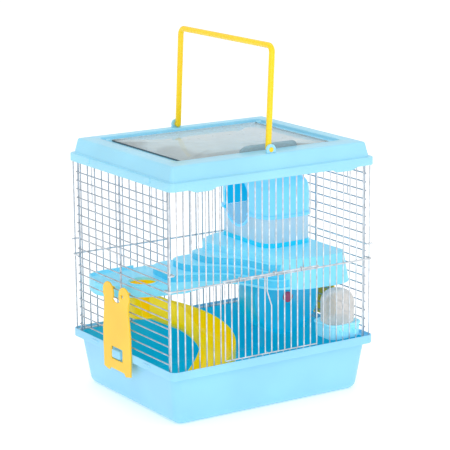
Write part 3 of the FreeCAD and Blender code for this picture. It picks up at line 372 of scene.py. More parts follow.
class Finish(Enum):
    """The cage's finishes."""

    # The lift numbers are painted light: each finish glows in its own colour so the inside of the
    # cage looks brighter.
    TRAY = MouldedPlastic("tray_blue", (0.57, 0.83, 0.965), 0.3, 0.02, lift=0.05)
    # Same plastic as TRAY, painted deeper and glowing: painted shade and bounced light inside the
    # tub.
    TRAY_INSIDE_PAINTED_SHADE = MouldedPlastic("tray_blue_inside_painted_shade", (0.0, 0.69, 0.82), 0.3, 0.03, lift=0.3)
    LID = MouldedPlastic("lid_blue", (0.60, 0.85, 0.95), 0.32, 0.02, lift=0.05)
    PLATFORM = MouldedPlastic("platform_blue", (0.50, 0.84, 0.94), 0.34, 0.03, lift=0.25)
    # Same plastic as PLATFORM, darker: painted shade on the stairs' upright faces.
    PLATFORM_PAINTED_SHADE = MouldedPlastic("platform_blue_painted_shade", (0.26, 0.74, 0.88), 0.34, 0.03, lift=0.25)
    CUP = MouldedPlastic("cup_blue", (0.56, 0.86, 0.95), 0.3, 0.02, lift=0.3)
    # Deep blue of the house ring; the roof's inside also wears it as painted shade.
    DEEP_BLUE_AND_PAINTED_SHADE = MouldedPlastic("deep_blue_and_painted_shade", (0.0, 0.71, 0.84), 0.3, 0.04, lift=0.45)
    WHEEL = MouldedPlastic("wheel_blue", (0.0, 0.64, 0.79), 0.3, 0.04, lift=0.4)
    ROOF = MouldedPlastic("roof_blue", (0.45, 0.80, 0.96), 0.3, 0.02, lift=0.35)
    HANDLE = MouldedPlastic("handle_yellow", (1.0, 0.83, 0.0), 0.26, 0.02, lift=0.05)
    LATCH = MouldedPlastic("latch_yellow", (0.98, 0.78, 0.14), 0.34, 0.03, lift=0.05)
    SLIDE = MouldedPlastic("slide_yellow", (0.95, 0.83, 0.0), 0.3, 0.03, lift=0.22)
    RED = MouldedPlastic("hub_red", (0.70, 0.30, 0.42), 0.3, 0.03, lift=0.2)
    # Dark grey for the clear sheet's edges: painted shade.
    EDGE = MouldedPlastic("sheet_edge_painted_shade", (0.30, 0.34, 0.36), 0.2, 0.05)
    HOUSE = FrostedPlastic("house_frost", (0.75, 0.86, 0.91), 0.18, 0.35, 0.2)
    PANEL = ClearSheet("hatch_clear", (0.93, 0.95, 0.955), 0.93, 0.03)
    STRIP = ClearSheet("strip_clear", (0.80, 0.86, 0.88), 0.72, 0.08, 0.1)
    DOME = ClearSheet("dome_smoke", (0.93, 0.925, 0.92), 0.72, 0.12, 0.15)
    WIRE = PlatedWire("wire_plated", (0.82, 0.84, 0.86), 0.34, 0.12)
    # Same plating as WIRE, darker: painted shade for the back and side walls.
    WIRE_PAINTED_SHADE = PlatedWire("wire_plated_painted_shade", (0.72, 0.76, 0.80), 0.4, 0.05)
    STEEL = PlatedWire("axle_steel", (0.66, 0.67, 0.69), 0.35)


class Paintbox:
    """Builds each finish once and hands it out."""

    def __init__(self) -> None:
        """Start with no material made."""
        self.made: Dict[Finish, bpy.types.Material] = {}

    def get(self, finish: Finish) -> bpy.types.Material:
        """Return the material of a finish, building it at first use."""
        if finish not in self.made:
            self.made[finish] = finish.value.material()
        return self.made[finish]

    def dress(self, piece: bpy.types.Object, finish: Finish) -> None:
        """Give a piece one finish.

        Args:
            piece: the mesh object.
            finish: the finish for its only material slot.
        """
        piece.data.materials.clear()
        piece.data.materials.append(self.get(finish))


# ------------------------------------------------------------------ studio
@dataclass
class Studio:
    """Camera, white floor and soft lights."""

    azimuth: float = -32.67
    elevation: float = 13.02
    roll: float = -0.51
    distance: float = 2.4877
    aim_height: float = 0.21146
    shift_right: float = 0.00518
    lens: float = 156.9
    sensor: float = 36.0
    floor_half: float = 40.0
    floor_glow: float = 0.28
    sky_strength: float = 0.8
    aim_lamps: Point = (0.0, 0.0, 0.2)
    lamps: Tuple[Tuple[str, Point, float, float], ...] = (
        ("key", (-1.1, -2.0, 2.4), 1.6, 13.0),
        ("fill", (2.2, -1.4, 1.2), 1.6, 4.0),
        ("low", (-1.2, -2.2, 0.5), 1.6, 7.0),
        ("top", (0.2, 0.6, 2.8), 1.8, 9.0),
    )

    def camera(self) -> bpy.types.Object:
        """Place the camera and make it the scene's."""
        a, e, r = (math.radians(v) for v in (self.azimuth, self.elevation, self.roll))
        back = Vector((math.sin(a) * math.cos(e), -math.cos(a) * math.cos(e), math.sin(e)))
        right = (-back).cross(Vector((0, 0, 1))).normalized()
        up = right.cross(-back)
        side = right * math.cos(r) + up * math.sin(r)
        top = up * math.cos(r) - right * math.sin(r)
        place = Vector((0, 0, self.aim_height)) + back * self.distance
        place = place + right * self.shift_right
        data = bpy.data.cameras.new("studio_camera")
        data.lens, data.sensor_width = self.lens, self.sensor
        data.clip_end = 60.0
        camera = bpy.data.objects.new("studio_camera", data)
        turn = Matrix((side, top, back)).transposed().to_4x4()
        camera.matrix_world = Matrix.Translation(place) @ turn
        bpy.context.scene.collection.objects.link(camera)
        bpy.context.scene.camera = camera
        return camera

    def floor(self) -> bpy.types.Object:
        """Lay a wide white floor under the cage."""
        n = Nodes("floor_white")
        shader = n.add("ShaderNodeBsdfPrincipled", Roughness=0.9)
        tone = n.ramp(n.noise(3.0, 1.0).outputs["Fac"], (0.985, 0.985, 0.985), (1, 1, 1))
        n.link(tone, shader.inputs["Base Color"])
        n.link(tone, shader.inputs["Emission Color"])
        shader.inputs["Emission Strength"].default_value = self.floor_glow
        n.link(shader.outputs["BSDF"], n.out.inputs["Surface"])
        half = self.floor_half
        corners = [(-half, -half, 0), (half, -half, 0), (half, half, 0), (-half, half, 0)]
        mesh = bpy.data.meshes.new("floor")
        mesh.from_pydata(corners, [], [(0, 1, 2, 3)])
        mesh.materials.append(n.material)
        floor = bpy.data.objects.new("floor", mesh)
        bpy.context.scene.collection.objects.link(floor)
        floor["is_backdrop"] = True
        return floor

    def lamp(self, name: str, place: Point, size: float, power: float) -> None:
        """Hang a square soft light that faces the cage.

        Args:
            name: the lamp's name.
            place: its position in metres.
            size: side of the square in metres.
            power: watts.
        """
        data = bpy.data.lights.new(name, "AREA")
        data.energy, data.size = power, size
        lamp = bpy.data.objects.new(name, data)
        lamp.location = place
        aim = Vector(self.aim_lamps) - Vector(place)
        lamp.rotation_euler = aim.to_track_quat("-Z", "Y").to_euler()
        bpy.context.scene.collection.objects.link(lamp)

    def sky(self) -> None:
        """Light everything evenly from a white world."""
        world = bpy.data.worlds.new("studio_world")
        world.use_nodes = True
        world.node_tree.nodes["Background"].inputs["Color"].default_value = (1, 1, 1, 1)
        world.node_tree.nodes["Background"].inputs["Strength"].default_value = self.sky_strength
        bpy.context.scene.world = world

    def build(self) -> None:
        """Set up the camera, the floor, the lights and the colour handling."""
        self.camera()
        self.floor()
        self.sky()
        for lamp in self.lamps:
            self.lamp(*lamp)
        bpy.context.scene.view_settings.view_transform = "Standard"


# ------------------------------------------------------------------ surfaces
def rect_rows(rows: Sequence[Rect], per_arc: int = 8, per_side: int = 20) -> np.ndarray:
    """Lay out rounded rectangles as the rows of a grid, anticlockwise from above.

    A corner point is the corner's centre plus the radius times (cos, sin) of its
    angle; the points between two corners are evenly spaced on the straight side.

    Args:
        rows: x0, x1, y0, y1, corner radius and height of each rectangle.
        per_arc: steps in each corner.
        per_side: steps along each side.
    Returns:
        Points, shaped (rows, points round, 3).
    """
    table = np.asarray(rows, float)
    x0, x1, y0, y1, rad, z = (table[:, i:i + 1] for i in range(6))
    centres = [(x1 - rad, y0 + rad), (x1 - rad, y1 - rad), (x0 + rad, y1 - rad),
               (x0 + rad, y0 + rad)]
    arc = np.linspace(0.0, 1.0, per_arc + 1)
    along = np.linspace(0.0, 1.0, per_side + 1)[1:-1]
    plan: List[np.ndarray] = []
    for k in range(4):
        turn = np.radians(90.0 * (k - 1) + 90.0 * arc)
        x = centres[k][0] + rad * np.cos(turn)
        y = centres[k][1] + rad * np.sin(turn)
        after = (k + 1) % 4
        end = np.radians(90.0 * k)
        next_x = centres[after][0] + rad * np.cos(end)
        next_y = centres[after][1] + rad * np.sin(end)
        plan.append(np.dstack([x, y]))
        plan.append(np.dstack([x[:, -1:] + (next_x - x[:, -1:]) * along,
                               y[:, -1:] + (next_y - y[:, -1:]) * along]))
    flat = np.concatenate(plan, axis=1)
    return np.dstack([flat, np.broadcast_to(z, flat.shape[:2])])


def lathe_rows(profile: Sequence[Tuple[float, float]], centre: Point, axis: str = "z",
               steps: int = 48) -> np.ndarray:
    """Turn a profile about an axis through a centre.

    A point is the centre plus radius times (cos, sin) of the turn in the plane across
    the axis, plus the profile's second number along the axis.

    Args:
        profile: radius and place along the axis, row by row.
        centre: a point on the axis.
        axis: z or y.
        steps: steps round the axis.
    Returns:
        Points, shaped (rows, steps, 3).
    """
    table = np.asarray(profile, float)
    turn = np.linspace(0.0, 2 * np.pi, steps, endpoint=False)
    a = table[:, :1] * np.cos(turn)
    b = table[:, :1] * np.sin(turn)
    c = np.broadcast_to(table[:, 1:], a.shape)
    if axis == "z":
        return np.dstack([centre[0] + a, centre[1] + b, centre[2] + c])
    return np.dstack([centre[0] + a, centre[1] + c, centre[2] - b])


def rounded_path(points: Sequence[Point], bend: float, steps: int = 7) -> np.ndarray:
    """Follow straight runs joined by arcs that touch both runs.

    At a corner the arc's centre lies on the bisector, the bend radius from both runs,
    and the arc's points turn from one run's direction to the next.

    Args:
        points: the runs' corners.
        bend: radius of each arc.
        steps: steps in an arc.
    Returns:
        Points, shaped (points, 3).
    """
    p = np.asarray(points, float)
    runs = p[1:] - p[:-1]
    runs /= np.linalg.norm(runs, axis=1, keepdims=True)
    path = [p[:1]]
    for k in range(1, len(p) - 1):
        into, out = runs[k - 1], runs[k]
        turn = math.acos(float(np.clip(into @ out, -1.0, 1.0)))
        inward = out - into * (into @ out)
        inward /= np.linalg.norm(inward)
        start = p[k] - into * bend * math.tan(turn / 2)
        a = np.linspace(0.0, turn, steps + 1)[:, None]
        path.append(start + bend * (np.sin(a) * into + (1 - np.cos(a)) * inward))
    path.append(p[-1:])
    return np.concatenate(path)


def tube_rows(path: np.ndarray, radius: np.ndarray, across: Point,
              sides: int = 12, squash: float = 1.0) -> np.ndarray:
    """Carry a ring along a path that lies in one plane.

    A ring point is the path's point plus the radius times cos of its angle along the
    in-plane normal and sin of it along the plane's own normal.

    Args:
        path: points, shaped (points, 3).
        radius: the ring's radius at each point, or one for all.
        across: unit normal of the path's plane.
        sides: points in the ring.
        squash: the ring's size along the plane's normal over its size in the plane.
    Returns:
        Points, shaped (points, sides, 3).
    """
    tangent = np.gradient(path, axis=0)
    tangent /= np.linalg.norm(tangent, axis=1, keepdims=True)
    plane = np.asarray(across, float)
    inward = np.cross(plane, tangent)
    turn = np.linspace(0.0, 2 * np.pi, sides, endpoint=False)
    r = np.broadcast_to(np.asarray(radius, float), (len(path),))[:, None, None]
    ring = (inward[:, None, :] * np.cos(turn)[None, :, None]
            + plane[None, None, :] * (squash * np.sin(turn))[None, :, None])
    return path[:, None, :] + r * ring


def domed(path: np.ndarray, radius: float, steps: int = 4) -> Tuple[np.ndarray, np.ndarray]:
    """Add rounded tips inside both ends of a path.

    Near an end the radius is the wire's radius times the sine of an angle, and the
    point lies the radius times one minus its cosine from the end.

    Args:
        path: points, shaped (points, 3).
        radius: the wire's radius.
        steps: rings in a tip.
    Returns:
        The longer path and the radius at each of its points.
    """
    a = np.linspace(0.15, np.pi / 2, steps)
    size = radius * np.sin(a)
    push = (radius * (1 - np.cos(a)))[:, None]
    first = path[1] - path[0]
    last = path[-2] - path[-1]
    head = path[0] + push * first / np.linalg.norm(first)
    tail = (path[-1] + push * last / np.linalg.norm(last))[::-1]
    body = path[1:-1]
    points = np.concatenate([head, body, tail])
    sizes = np.concatenate([size, np.full(len(body), radius), size[::-1]])
    return points, sizes


def bands(index: np.ndarray, loop: bool = False) -> np.ndarray:
    """Lay out the four-sided faces between the rows of a grid that closes on itself.

    Args:
        index: point numbers, shaped (rows, columns).
        loop: whether the last row joins the first.
    Returns:
        Faces, shaped (bands, columns, 4).
    """
    low = index if loop else index[:-1]
    high = np.roll(index, -1, axis=0) if loop else index[1:]
    return np.stack([low, np.roll(low, -1, 1), np.roll(high, -1, 1), high], -1)


def fans(index: np.ndarray, pole: int) -> np.ndarray:
    """Lay out the three-sided faces that close a grid's first and last rows.

    Args:
        index: point numbers, shaped (rows, columns).
        pole: number of the first row's pole; the last row's comes next.
    Returns:
        Faces, shaped (twice the columns, 3).
    """
    first, last = index[0], index[-1]
    start = np.stack([np.full(len(first), pole), np.roll(first, -1), first], -1)
    stop = np.stack([last, np.roll(last, -1), np.full(len(last), pole + 1)], -1)
    return np.concatenate([start, stop])


class Mould:
    """Collects surfaces in millimetres and casts them as one mesh object."""

    def __init__(self) -> None:
        """Start empty."""
        self.points: List[np.ndarray] = []
        self.faces: List[List[int]] = []
        self.paint: List[int] = []
        self.count = 0

    def grid(self, rows: np.ndarray, loop: bool = False, slots: Sequence[int] = (0,),
             poles: bool = True) -> "Mould":
        """Add a grid that closes round its columns.

        Faces join each row to the next. The last row joins the first in a loop;
        otherwise the first and last rows close on a pole at their middle.

        Args:
            rows: points, shaped (rows, columns, 3).
            loop: whether the rows close on themselves.
            slots: material slot of each band of faces, the last one for the rest.
            poles: whether an open grid's ends close on poles.
        Returns:
            This mould.
        """
        count, cols = rows.shape[:2]
        index = np.arange(count * cols).reshape(count, cols)
        base = self.count
        self.points.append(rows.reshape(-1, 3))
        self.count += count * cols
        for band, quads in enumerate(bands(index, loop)):
            self.faces.extend((quads + base).tolist())
            self.paint.extend([slots[min(band, len(slots) - 1)]] * cols)
        if poles and not loop:
            self.points.append(np.stack([rows[0].mean(0), rows[-1].mean(0)]))
            self.count += 2
            self.faces.extend((fans(index, count * cols) + base).tolist())
            self.paint.extend([slots[0]] * cols + [slots[-1]] * cols)
        return self

    def copies(self, skins: np.ndarray, poles: np.ndarray) -> "Mould":
        """Add many like shapes at once, each a grid that closes on two poles.

        Args:
            skins: the grids' points, shaped (shapes, rows, columns, 3).
            poles: the shapes' first and last poles, shaped (shapes, 2, 3).
        Returns:
            This mould.
        """
        shapes, rows, cols = skins.shape[:3]
        pole = rows * cols
        index = np.arange(pole).reshape(rows, cols)
        points = np.concatenate([skins.reshape(shapes, pole, 3), poles], 1)
        first = self.count + (np.arange(shapes) * (pole + 2))[:, None, None]
        quads = (bands(index).reshape(-1, 4)[None] + first).reshape(-1, 4)
        caps = (fans(index, pole)[None] + first).reshape(-1, 3)
        self.points.append(points.reshape(-1, 3))
        self.count += shapes * (pole + 2)
        self.faces.extend(quads.tolist() + caps.tolist())
        self.paint.extend([0] * (len(quads) + len(caps)))
        return self

    def rods(self, starts: np.ndarray, ends: np.ndarray, radius: float, sides: int = 10,
             tip: int = 3) -> "Mould":
        """Add straight wires with domed ends, all at once.

        A ring's radius is the wire's times the sine of the tip angle, and it lies the
        radius times one minus the cosine from the end.

        Args:
            starts: shaped (wires, 3).
            ends: shaped (wires, 3).
            radius: the wires' radius.
            sides: points in a ring.
            tip: rings in a domed end.
        Returns:
            This mould.
        """
        starts, ends = np.atleast_2d(starts), np.atleast_2d(ends)
        way = ends - starts
        way = way / np.linalg.norm(way, axis=1, keepdims=True)
        helper = np.where(np.abs(way[:, 2:]) > 0.9, (1.0, 0.0, 0.0), (0.0, 0.0, 1.0))
        u = np.cross(helper, way)
        u /= np.linalg.norm(u, axis=1, keepdims=True)
        v = np.cross(way, u)
        a = np.linspace(0.3, np.pi / 2, tip)
        size = radius * np.concatenate([np.sin(a), np.sin(a)[::-1]])
        push = radius * (1 - np.cos(a))
        middle = np.concatenate([starts[:, None] + push[None, :, None] * way[:, None],
                                 ends[:, None] - push[::-1][None, :, None] * way[:, None]], 1)
        turn = np.linspace(0.0, 2 * np.pi, sides, endpoint=False)
        ring = (u[:, None, None] * np.cos(turn)[None, None, :, None]
                + v[:, None, None] * np.sin(turn)[None, None, :, None])
        skin = middle[:, :, None] + size[None, :, None, None] * ring
        return self.copies(skin, np.stack([starts, ends], 1))

    def tube(self, points: Sequence[Point], radius: float, bend: float, across: Point,
             sides: int = 12, squash: float = 1.0) -> "Mould":
        """Add a bent bar with domed ends.

        Args:
            points: the bar's straight runs, in one plane.
            radius: its radius.
            bend: radius of its bends.
            across: unit normal of the plane.
            sides: points round the bar.
            squash: its size along the plane's normal over its size in the plane.
        Returns:
            This mould.
        """
        path, size = domed(rounded_path(points, bend), radius)
        return self.grid(tube_rows(path, size, across, sides, squash))

    def beads(self, places: np.ndarray, size: Point) -> "Mould":
        """Add small round blobs, all at once, such as weld beads.

        A blob's point is its middle plus the size times (cos u cos v, sin u cos v,
        sin v).

        Args:
            places: the blobs' middles, shaped (blobs, 3).
            size: half sizes along x, y and z.
        Returns:
            This mould.
        """
        pole = np.asarray([[0.0, 0.0, -size[2]], [0.0, 0.0, size[2]]])
        lat = np.radians([-50.0, 0.0, 50.0])[:, None]
        turn = np.linspace(0.0, 2 * np.pi, 8, endpoint=False)
        skin = np.stack([np.cos(lat) * np.cos(turn) * size[0],
                         np.cos(lat) * np.sin(turn) * size[1],
                         np.sin(lat) * np.ones(8) * size[2]], -1)
        return self.copies(places[:, None, None] + skin, places[:, None] + pole)

    def cast(self, name: str, sharp: float = 38.0) -> bpy.types.Object:
        """Make the object.

        Args:
            name: the object's name.
            sharp: faces that meet at more than this angle keep a hard edge.
        Returns:
            The new object, at the origin.
        """
        mesh = bpy.data.meshes.new(name)
        mesh.from_pydata((np.concatenate(self.points) * MM).tolist(), [], self.faces)
        mesh.polygons.foreach_set("material_index", np.asarray(self.paint, np.int32))
        mesh.update()
        mesh.shade_smooth()
        mesh.set_sharp_from_angle(angle=math.radians(sharp))
        piece = bpy.data.objects.new(name, mesh)
        bpy.context.scene.collection.objects.link(piece)
        return piece


def softened(source: bpy.types.Object, name: str, width: float, angle: float = 32.0,
             segments: int = 3) -> bpy.types.Object:
    """Copy a node's mesh and round its edges.

    Args:
        source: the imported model's object.
        name: the copy's name.
        width: width of the rounding in millimetres.
        angle: edges sharper than this are rounded.
        segments: steps in the rounding.
    Returns:
        The new object.
    """
    mesh = source.data.copy()
    mesh.name = name
    work = bmesh.new()
    work.from_mesh(mesh)
    bmesh.ops.remove_doubles(work, verts=work.verts, dist=2e-6)
    bmesh.ops.dissolve_limit(work, angle_limit=math.radians(0.6), verts=work.verts,
                             edges=work.edges)
    work.to_mesh(mesh)
    work.free()
    mesh.shade_smooth()
    mesh.set_sharp_from_angle(angle=math.radians(50.0))
    piece = bpy.data.objects.new(name, mesh)
    bpy.context.scene.collection.objects.link(piece)
    bevel = piece.modifiers.new("edges", "BEVEL")
    bevel.width = width * MM
    bevel.segments = segments
    bevel.limit_method = "ANGLE"
    bevel.angle_limit = math.radians(angle)
    bevel.use_clamp_overlap = True
    bevel.harden_normals = False
    return piece


# ------------------------------------------------------------------ sub-assemblies
def centred(half_x: float, half_y: float, radius: float, z: float) -> Rect:
    """Return a rounded rectangle centred on the cage's axis."""
    return -half_x, half_x, -half_y, half_y, radius, z


def grown(rect: Sequence[float], out: float, z: float) -> Rect:
    """Move the sides of a rectangle (x0, x1, y0, y1, radius) out and set its height."""
    x0, x1, y0, y1, radius = rect[:5]
    return x0 - out, x1 + out, y0 - out, y1 + out, max(radius + out, 0.4), z


def carve(piece: bpy.types.Object, cutter: bpy.types.Object) -> None:
    """Cut one closed piece with another and drop the cutter.

    Args:
        piece: the object that keeps its name.
        cutter: the object taken away.
    """
    cut = piece.modifiers.new("cut", "BOOLEAN")
    cut.operation, cut.solver, cut.object = "DIFFERENCE", "EXACT", cutter
    bpy.context.view_layer.update()
    graph = bpy.context.evaluated_depsgraph_get()
    mesh = bpy.data.meshes.new_from_object(piece.evaluated_get(graph))
    piece.modifiers.clear()
    old, piece.data = piece.data, mesh
    mesh.name = old.name + "_cut"
    bpy.data.meshes.remove(old)
    bpy.data.objects.remove(cutter)
    mesh.shade_smooth()
    mesh.set_sharp_from_angle(angle=math.radians(38.0))


def face_vectors(piece: bpy.types.Object, what: str) -> np.ndarray:
    """Read a vector of each face, its "normal" or "center", as rows."""
    values = np.empty(3 * len(piece.data.polygons), np.float32)
    piece.data.polygons.foreach_get(what, values)
    return values.reshape(-1, 3)


def set_slots(piece: bpy.types.Object, second: np.ndarray) -> None:
    """Put the faces that are marked on the second material and the others on the first."""
    piece.data.materials.clear()
    piece.data.materials.append(None)
    piece.data.materials.append(None)
    piece.data.polygons.foreach_set("material_index", second.astype(np.int32))
    piece.data.update()


@dataclass
class Workshop:
    """Puts finished pieces on their bodies."""

    nodes: Dict[str, bpy.types.Object]
    paint: Paintbox

    def span(self, node: str) -> Tuple[np.ndarray, np.ndarray]:
        """Return a node's lowest and highest corners in millimetres."""
        low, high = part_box(node)
        return np.asarray(low) / MM, np.asarray(high) / MM

    def hand_over(self, piece: bpy.types.Object, body: str, slot: str,
                  finishes: Sequence[Finish], *nodes: str) -> None:
        """Dress a piece and set it on its body in place of CAD nodes.

        Args:
            piece: the finished object.
            body: the body that it rides on.
            slot: not used.
            finishes: one finish for each of the mesh's slots.
            nodes: the nodes that it stands for.
        """
        held = piece.data.materials
        for index, finish in enumerate(finishes):
            if index < len(held):
                held[index] = self.paint.get(finish)
            else:
                held.append(self.paint.get(finish))
        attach(piece, body)
        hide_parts(*nodes)
        LOG.info("%s rides on %s", piece.name, body)

    def soften(self, node: str, body: str, slot: str, finish: Finish, width: float,
               upright: Optional[Finish] = None) -> None:
        """Stand a copy with rounded edges in for a node.

        Args:
            node: the node to copy.
            body: the body that it rides on.
            slot: handed on to hand_over as its slot.
            finish: finish of the whole piece, or of its level faces.
            width: width of the rounding in millimetres.
            upright: another finish for the faces that stand upright, used to paint shade on them.
        """
        piece = softened(self.nodes[node], node + "_rounded", width)
        if upright:
            # Faces that stand upright take the second finish: painted shade.
            set_slots(piece, np.abs(face_vectors(piece, "normal")[:, 2]) < 0.6)
        both = [finish, upright] if upright else [finish]
        self.hand_over(piece, body, slot, both, node)


@dataclass
class Tray:
    """Base tray: outer skin, rolled rim, ledge and an inside painted a deeper blue as painted shade
    and bounced light.
    """

    shop: Workshop
    top: Tuple[float, float] = (144.4, 119.4)
    taper: float = 9.0
    ledge: float = 68.2
    wall: float = 2.2
    corner: float = 12.0
    foot_round: float = 9.0
    rim: Tuple[float, float, float] = (150.0, 125.0, 9.0)
    rim_wall: float = 1.6
    rim_low: float = 62.0
    rim_high: float = 72.6
    catch: Tuple[float, float, float, float] = (4.6, 9.5, 60.5, 70.5)
    catch_shift: float = 5.0
    bump: Tuple[float, float, float, float] = (64.0, 8.0, 1.6, 4.0)

    def skin(self, inset: float, foot: float, low: float, high: float) -> List[Rect]:
        """Work out one skin of the tub from its floor up.

        The half sizes grow in a straight line with height; in the foot's rounding they
        are less by the radius times one minus the sine, and the height is the radius
        times one minus the cosine.

        Args:
            inset: distance inside the outer skin.
            foot: radius of the rounding.
            low: height of the floor.
            high: height of the top row.
        Returns:
            Rounded rectangles.
        """
        rows: List[Rect] = []
        grow = self.taper / self.ledge
        floor = [half - self.taper - inset for half in self.top]
        for turn in np.radians(np.linspace(0.0, 90.0, 8)):
            draw = foot * (1 - math.sin(turn))
            z = low + foot * (1 - math.cos(turn))
            rows.append(centred(floor[0] + grow * z - draw, floor[1] + grow * z - draw,
                                max(self.corner - inset - draw, 2.0), z))
        rows.append(centred(floor[0] + grow * high, floor[1] + grow * high,
                            self.corner - inset, high))
        return rows

    def rolled_rim(self) -> List[Rect]:
        """Work out the ledge's underside, the rim's lip and the ledge."""
        x, y, r = self.rim
        steps = [(self.rim_wall, self.ledge - self.wall), (self.rim_wall, self.rim_low + 0.5),
                 (self.rim_wall - 0.4, self.rim_low), (0.4, self.rim_low),
                 (0.0, self.rim_low + 0.5), (0.0, self.rim_high - 0.9),
                 (0.25, self.rim_high - 0.25), (0.8, self.rim_high),
                 (self.rim_wall - 0.25, self.rim_high - 0.2),
                 (self.rim_wall, self.rim_high - 0.8), (self.rim_wall, self.ledge + 0.4),
                 (self.rim_wall + 0.4, self.ledge)]
        return [centred(x - d, y - d, r - d, z) for d, z in steps]

    def build(self) -> None:
        """Make the tray."""
        outer = self.skin(0.0, self.foot_round, 0.0, self.ledge - self.wall)
        inner = self.skin(self.wall, self.foot_round - self.wall, self.wall, self.ledge - 0.8)
        lip = [grown(inner[-1][:5], d, self.ledge - z) for d, z in ((0.7, 0.0), (0.2, 0.25))]
        rows = outer + self.rolled_rim() + lip + inner[::-1]
        outside = len(outer) + len(self.rolled_rim())
        # The inner skin and the lip take the second slot: the same plastic painted deeper blue as
        # painted shade and bounced light.
        mould = Mould().grid(rect_rows(rows), slots=[0] * outside + [1])
        x = self.rim[0]
        for side in (-1.0, 1.0):
            reach, half, low, high = self.catch
            x0, x1 = sorted((side * (x - 0.8), side * (x + reach)))
            y = -side * self.catch_shift
            block = (x0, x1, y - half, y + half, 1.5)
            mould.grid(rect_rows([grown(block, -0.9, low), grown(block, -0.25, low + 0.3),
                                  grown(block, 0.0, low + 1.0), grown(block, 0.0, high - 1.0),
                                  grown(block, -0.25, high - 0.3), grown(block, -0.9, high)],
                                 4, 3))
            off, bump_half, bump_r, below = self.bump
            bump_y = np.asarray([-off, off])
            start = np.stack([np.full(2, side * x), bump_y - bump_half,
                              np.full(2, self.rim_high - below)], -1)
            mould.rods(start, start + (0.0, 2 * bump_half, 0.0), bump_r, 12, 5)
        self.shop.hand_over(mould.cast("tray_shell"), "cage", "tray_plastic",
                            [Finish.TRAY, Finish.TRAY_INSIDE_PAINTED_SHADE], "base_tray")


@dataclass
class Lid:
    """Lid moulding: flange with tongues, sloped crown, sunk ledge round the opening."""

    shop: Workshop
    flange: float = 10.2
    rise: float = 18.6
    wall: float = 2.2
    lip: float = 1.6
    crown_foot: Tuple[float, float, float] = (145.5, 120.5, 7.0)
    crown_slope: float = 5.0
    crown_round: float = 2.6
    well: Tuple[float, float, float, float, float] = (-119.2, 123.8, -87.8, 100.2, 6.0)
    mouth: Tuple[float, float, float, float, float] = (-96.2, 100.8, -73.2, 78.2, 6.0)
    well_depth: float = 4.4
    tongue: Tuple[float, float, float] = (103.0, 20.0, 3.6)
    tongue_ease: float = 9.0
    clip_x: Tuple[float, float] = (149.2, 151.2)
    clip_y: float = 73.5
    clip_half: float = 6.0

    def rows(self, top: float) -> List[Rect]:
        """Work out the moulding's section as a closed loop of rectangles.

        Args:
            top: height of the plateau.
        Returns:
            Rounded rectangles, up the outside, over the plateau and back underneath.
        """
        step = top - self.rise
        low = step - self.flange
        outer = (-150.0, 150.0, -125.0, 125.0, 9.0)
        cx, cy, cr = self.crown_foot
        foot = (-cx, cx, -cy, cy, cr)
        rows = [grown(outer, -0.4, low), grown(outer, 0.0, low + 0.4),
                grown(outer, 0.0, step - 1.3), grown(outer, -0.3, step - 0.4),
                grown(outer, -1.1, step), grown(foot, 0.9, step), grown(foot, 0.1, step + 0.2),
                grown(foot, -0.25, step + 1.0)]
        for turn in np.radians(np.linspace(0.0, 90.0, 7)):
            draw = self.crown_round * (1 - math.cos(turn))
            z = top - self.crown_round * (1 - math.sin(turn))
            lean = self.crown_slope * (z - step) / self.rise
            rows.append(grown(foot, -lean - draw, z))
        floor = top - self.well_depth
        rows += [grown(self.well, 0.9, top), grown(self.well, 0.25, top - 0.25),
                 grown(self.well, 0.0, top - 0.9), grown(self.well, 0.0, floor + 0.6),
                 grown(self.well, -0.5, floor), grown(self.mouth, 0.5, floor),
                 grown(self.mouth, 0.0, floor - 0.4), grown(self.mouth, 0.0, floor - 1.8),
                 grown(self.mouth, 0.4, floor - self.wall),
                 grown(self.well, self.wall, floor - self.wall),
                 grown(self.well, self.wall + 0.3, top - self.wall),
                 grown(foot, -self.crown_slope - self.wall, top - self.wall),
                 grown(foot, -self.wall, step - self.lip), grown(outer, -self.lip, step - self.lip),
                 grown(outer, -self.lip, low + 0.3), grown(outer, -self.lip + 0.4, low)]
        return rows

    def build(self) -> None:
        """Make the lid, its clip housings and the handle's sockets."""
        top = self.shop.span("lid_frame")[1][2]
        grid = rect_rows(self.rows(top), 8, 60)
        middle, half, drop = self.tongue
        low = top - self.rise - self.flange
        away = np.clip((half - np.abs(np.abs(grid[..., 0]) - middle)) / self.tongue_ease,
                       0.0, 1.0)
        hang = away * away * (3 - 2 * away) * drop
        edge = (np.abs(grid[..., 1]) > 122.0) & (grid[..., 2] < low + 0.6)
        grid[..., 2] -= np.where(edge, hang, 0.0)
        mould = Mould().grid(grid, loop=True)
        for side in (-1.0, 1.0):
            for y in (-self.clip_y, self.clip_y):
                x0, x1 = sorted(side * x for x in self.clip_x)
                half = self.clip_half
                block = (x0, x1, y - half, y + half, 0.8)
                z = top - self.rise
                mould.grid(rect_rows([grown(block, -0.5, z - half),
                                      grown(block, 0.0, z - half + 0.5),
                                      grown(block, 0.0, z - 0.6), grown(block, -0.5, z)], 4, 3))
        piece = mould.cast("lid_moulding")
        self.shop.hand_over(piece, "cage", "lid_plastic", [Finish.LID], "lid_frame")
        for end in ("front", "back"):
            self.shop.soften("handle_socket_" + end, "cage", "socket_plastic", Finish.LID, 0.5)


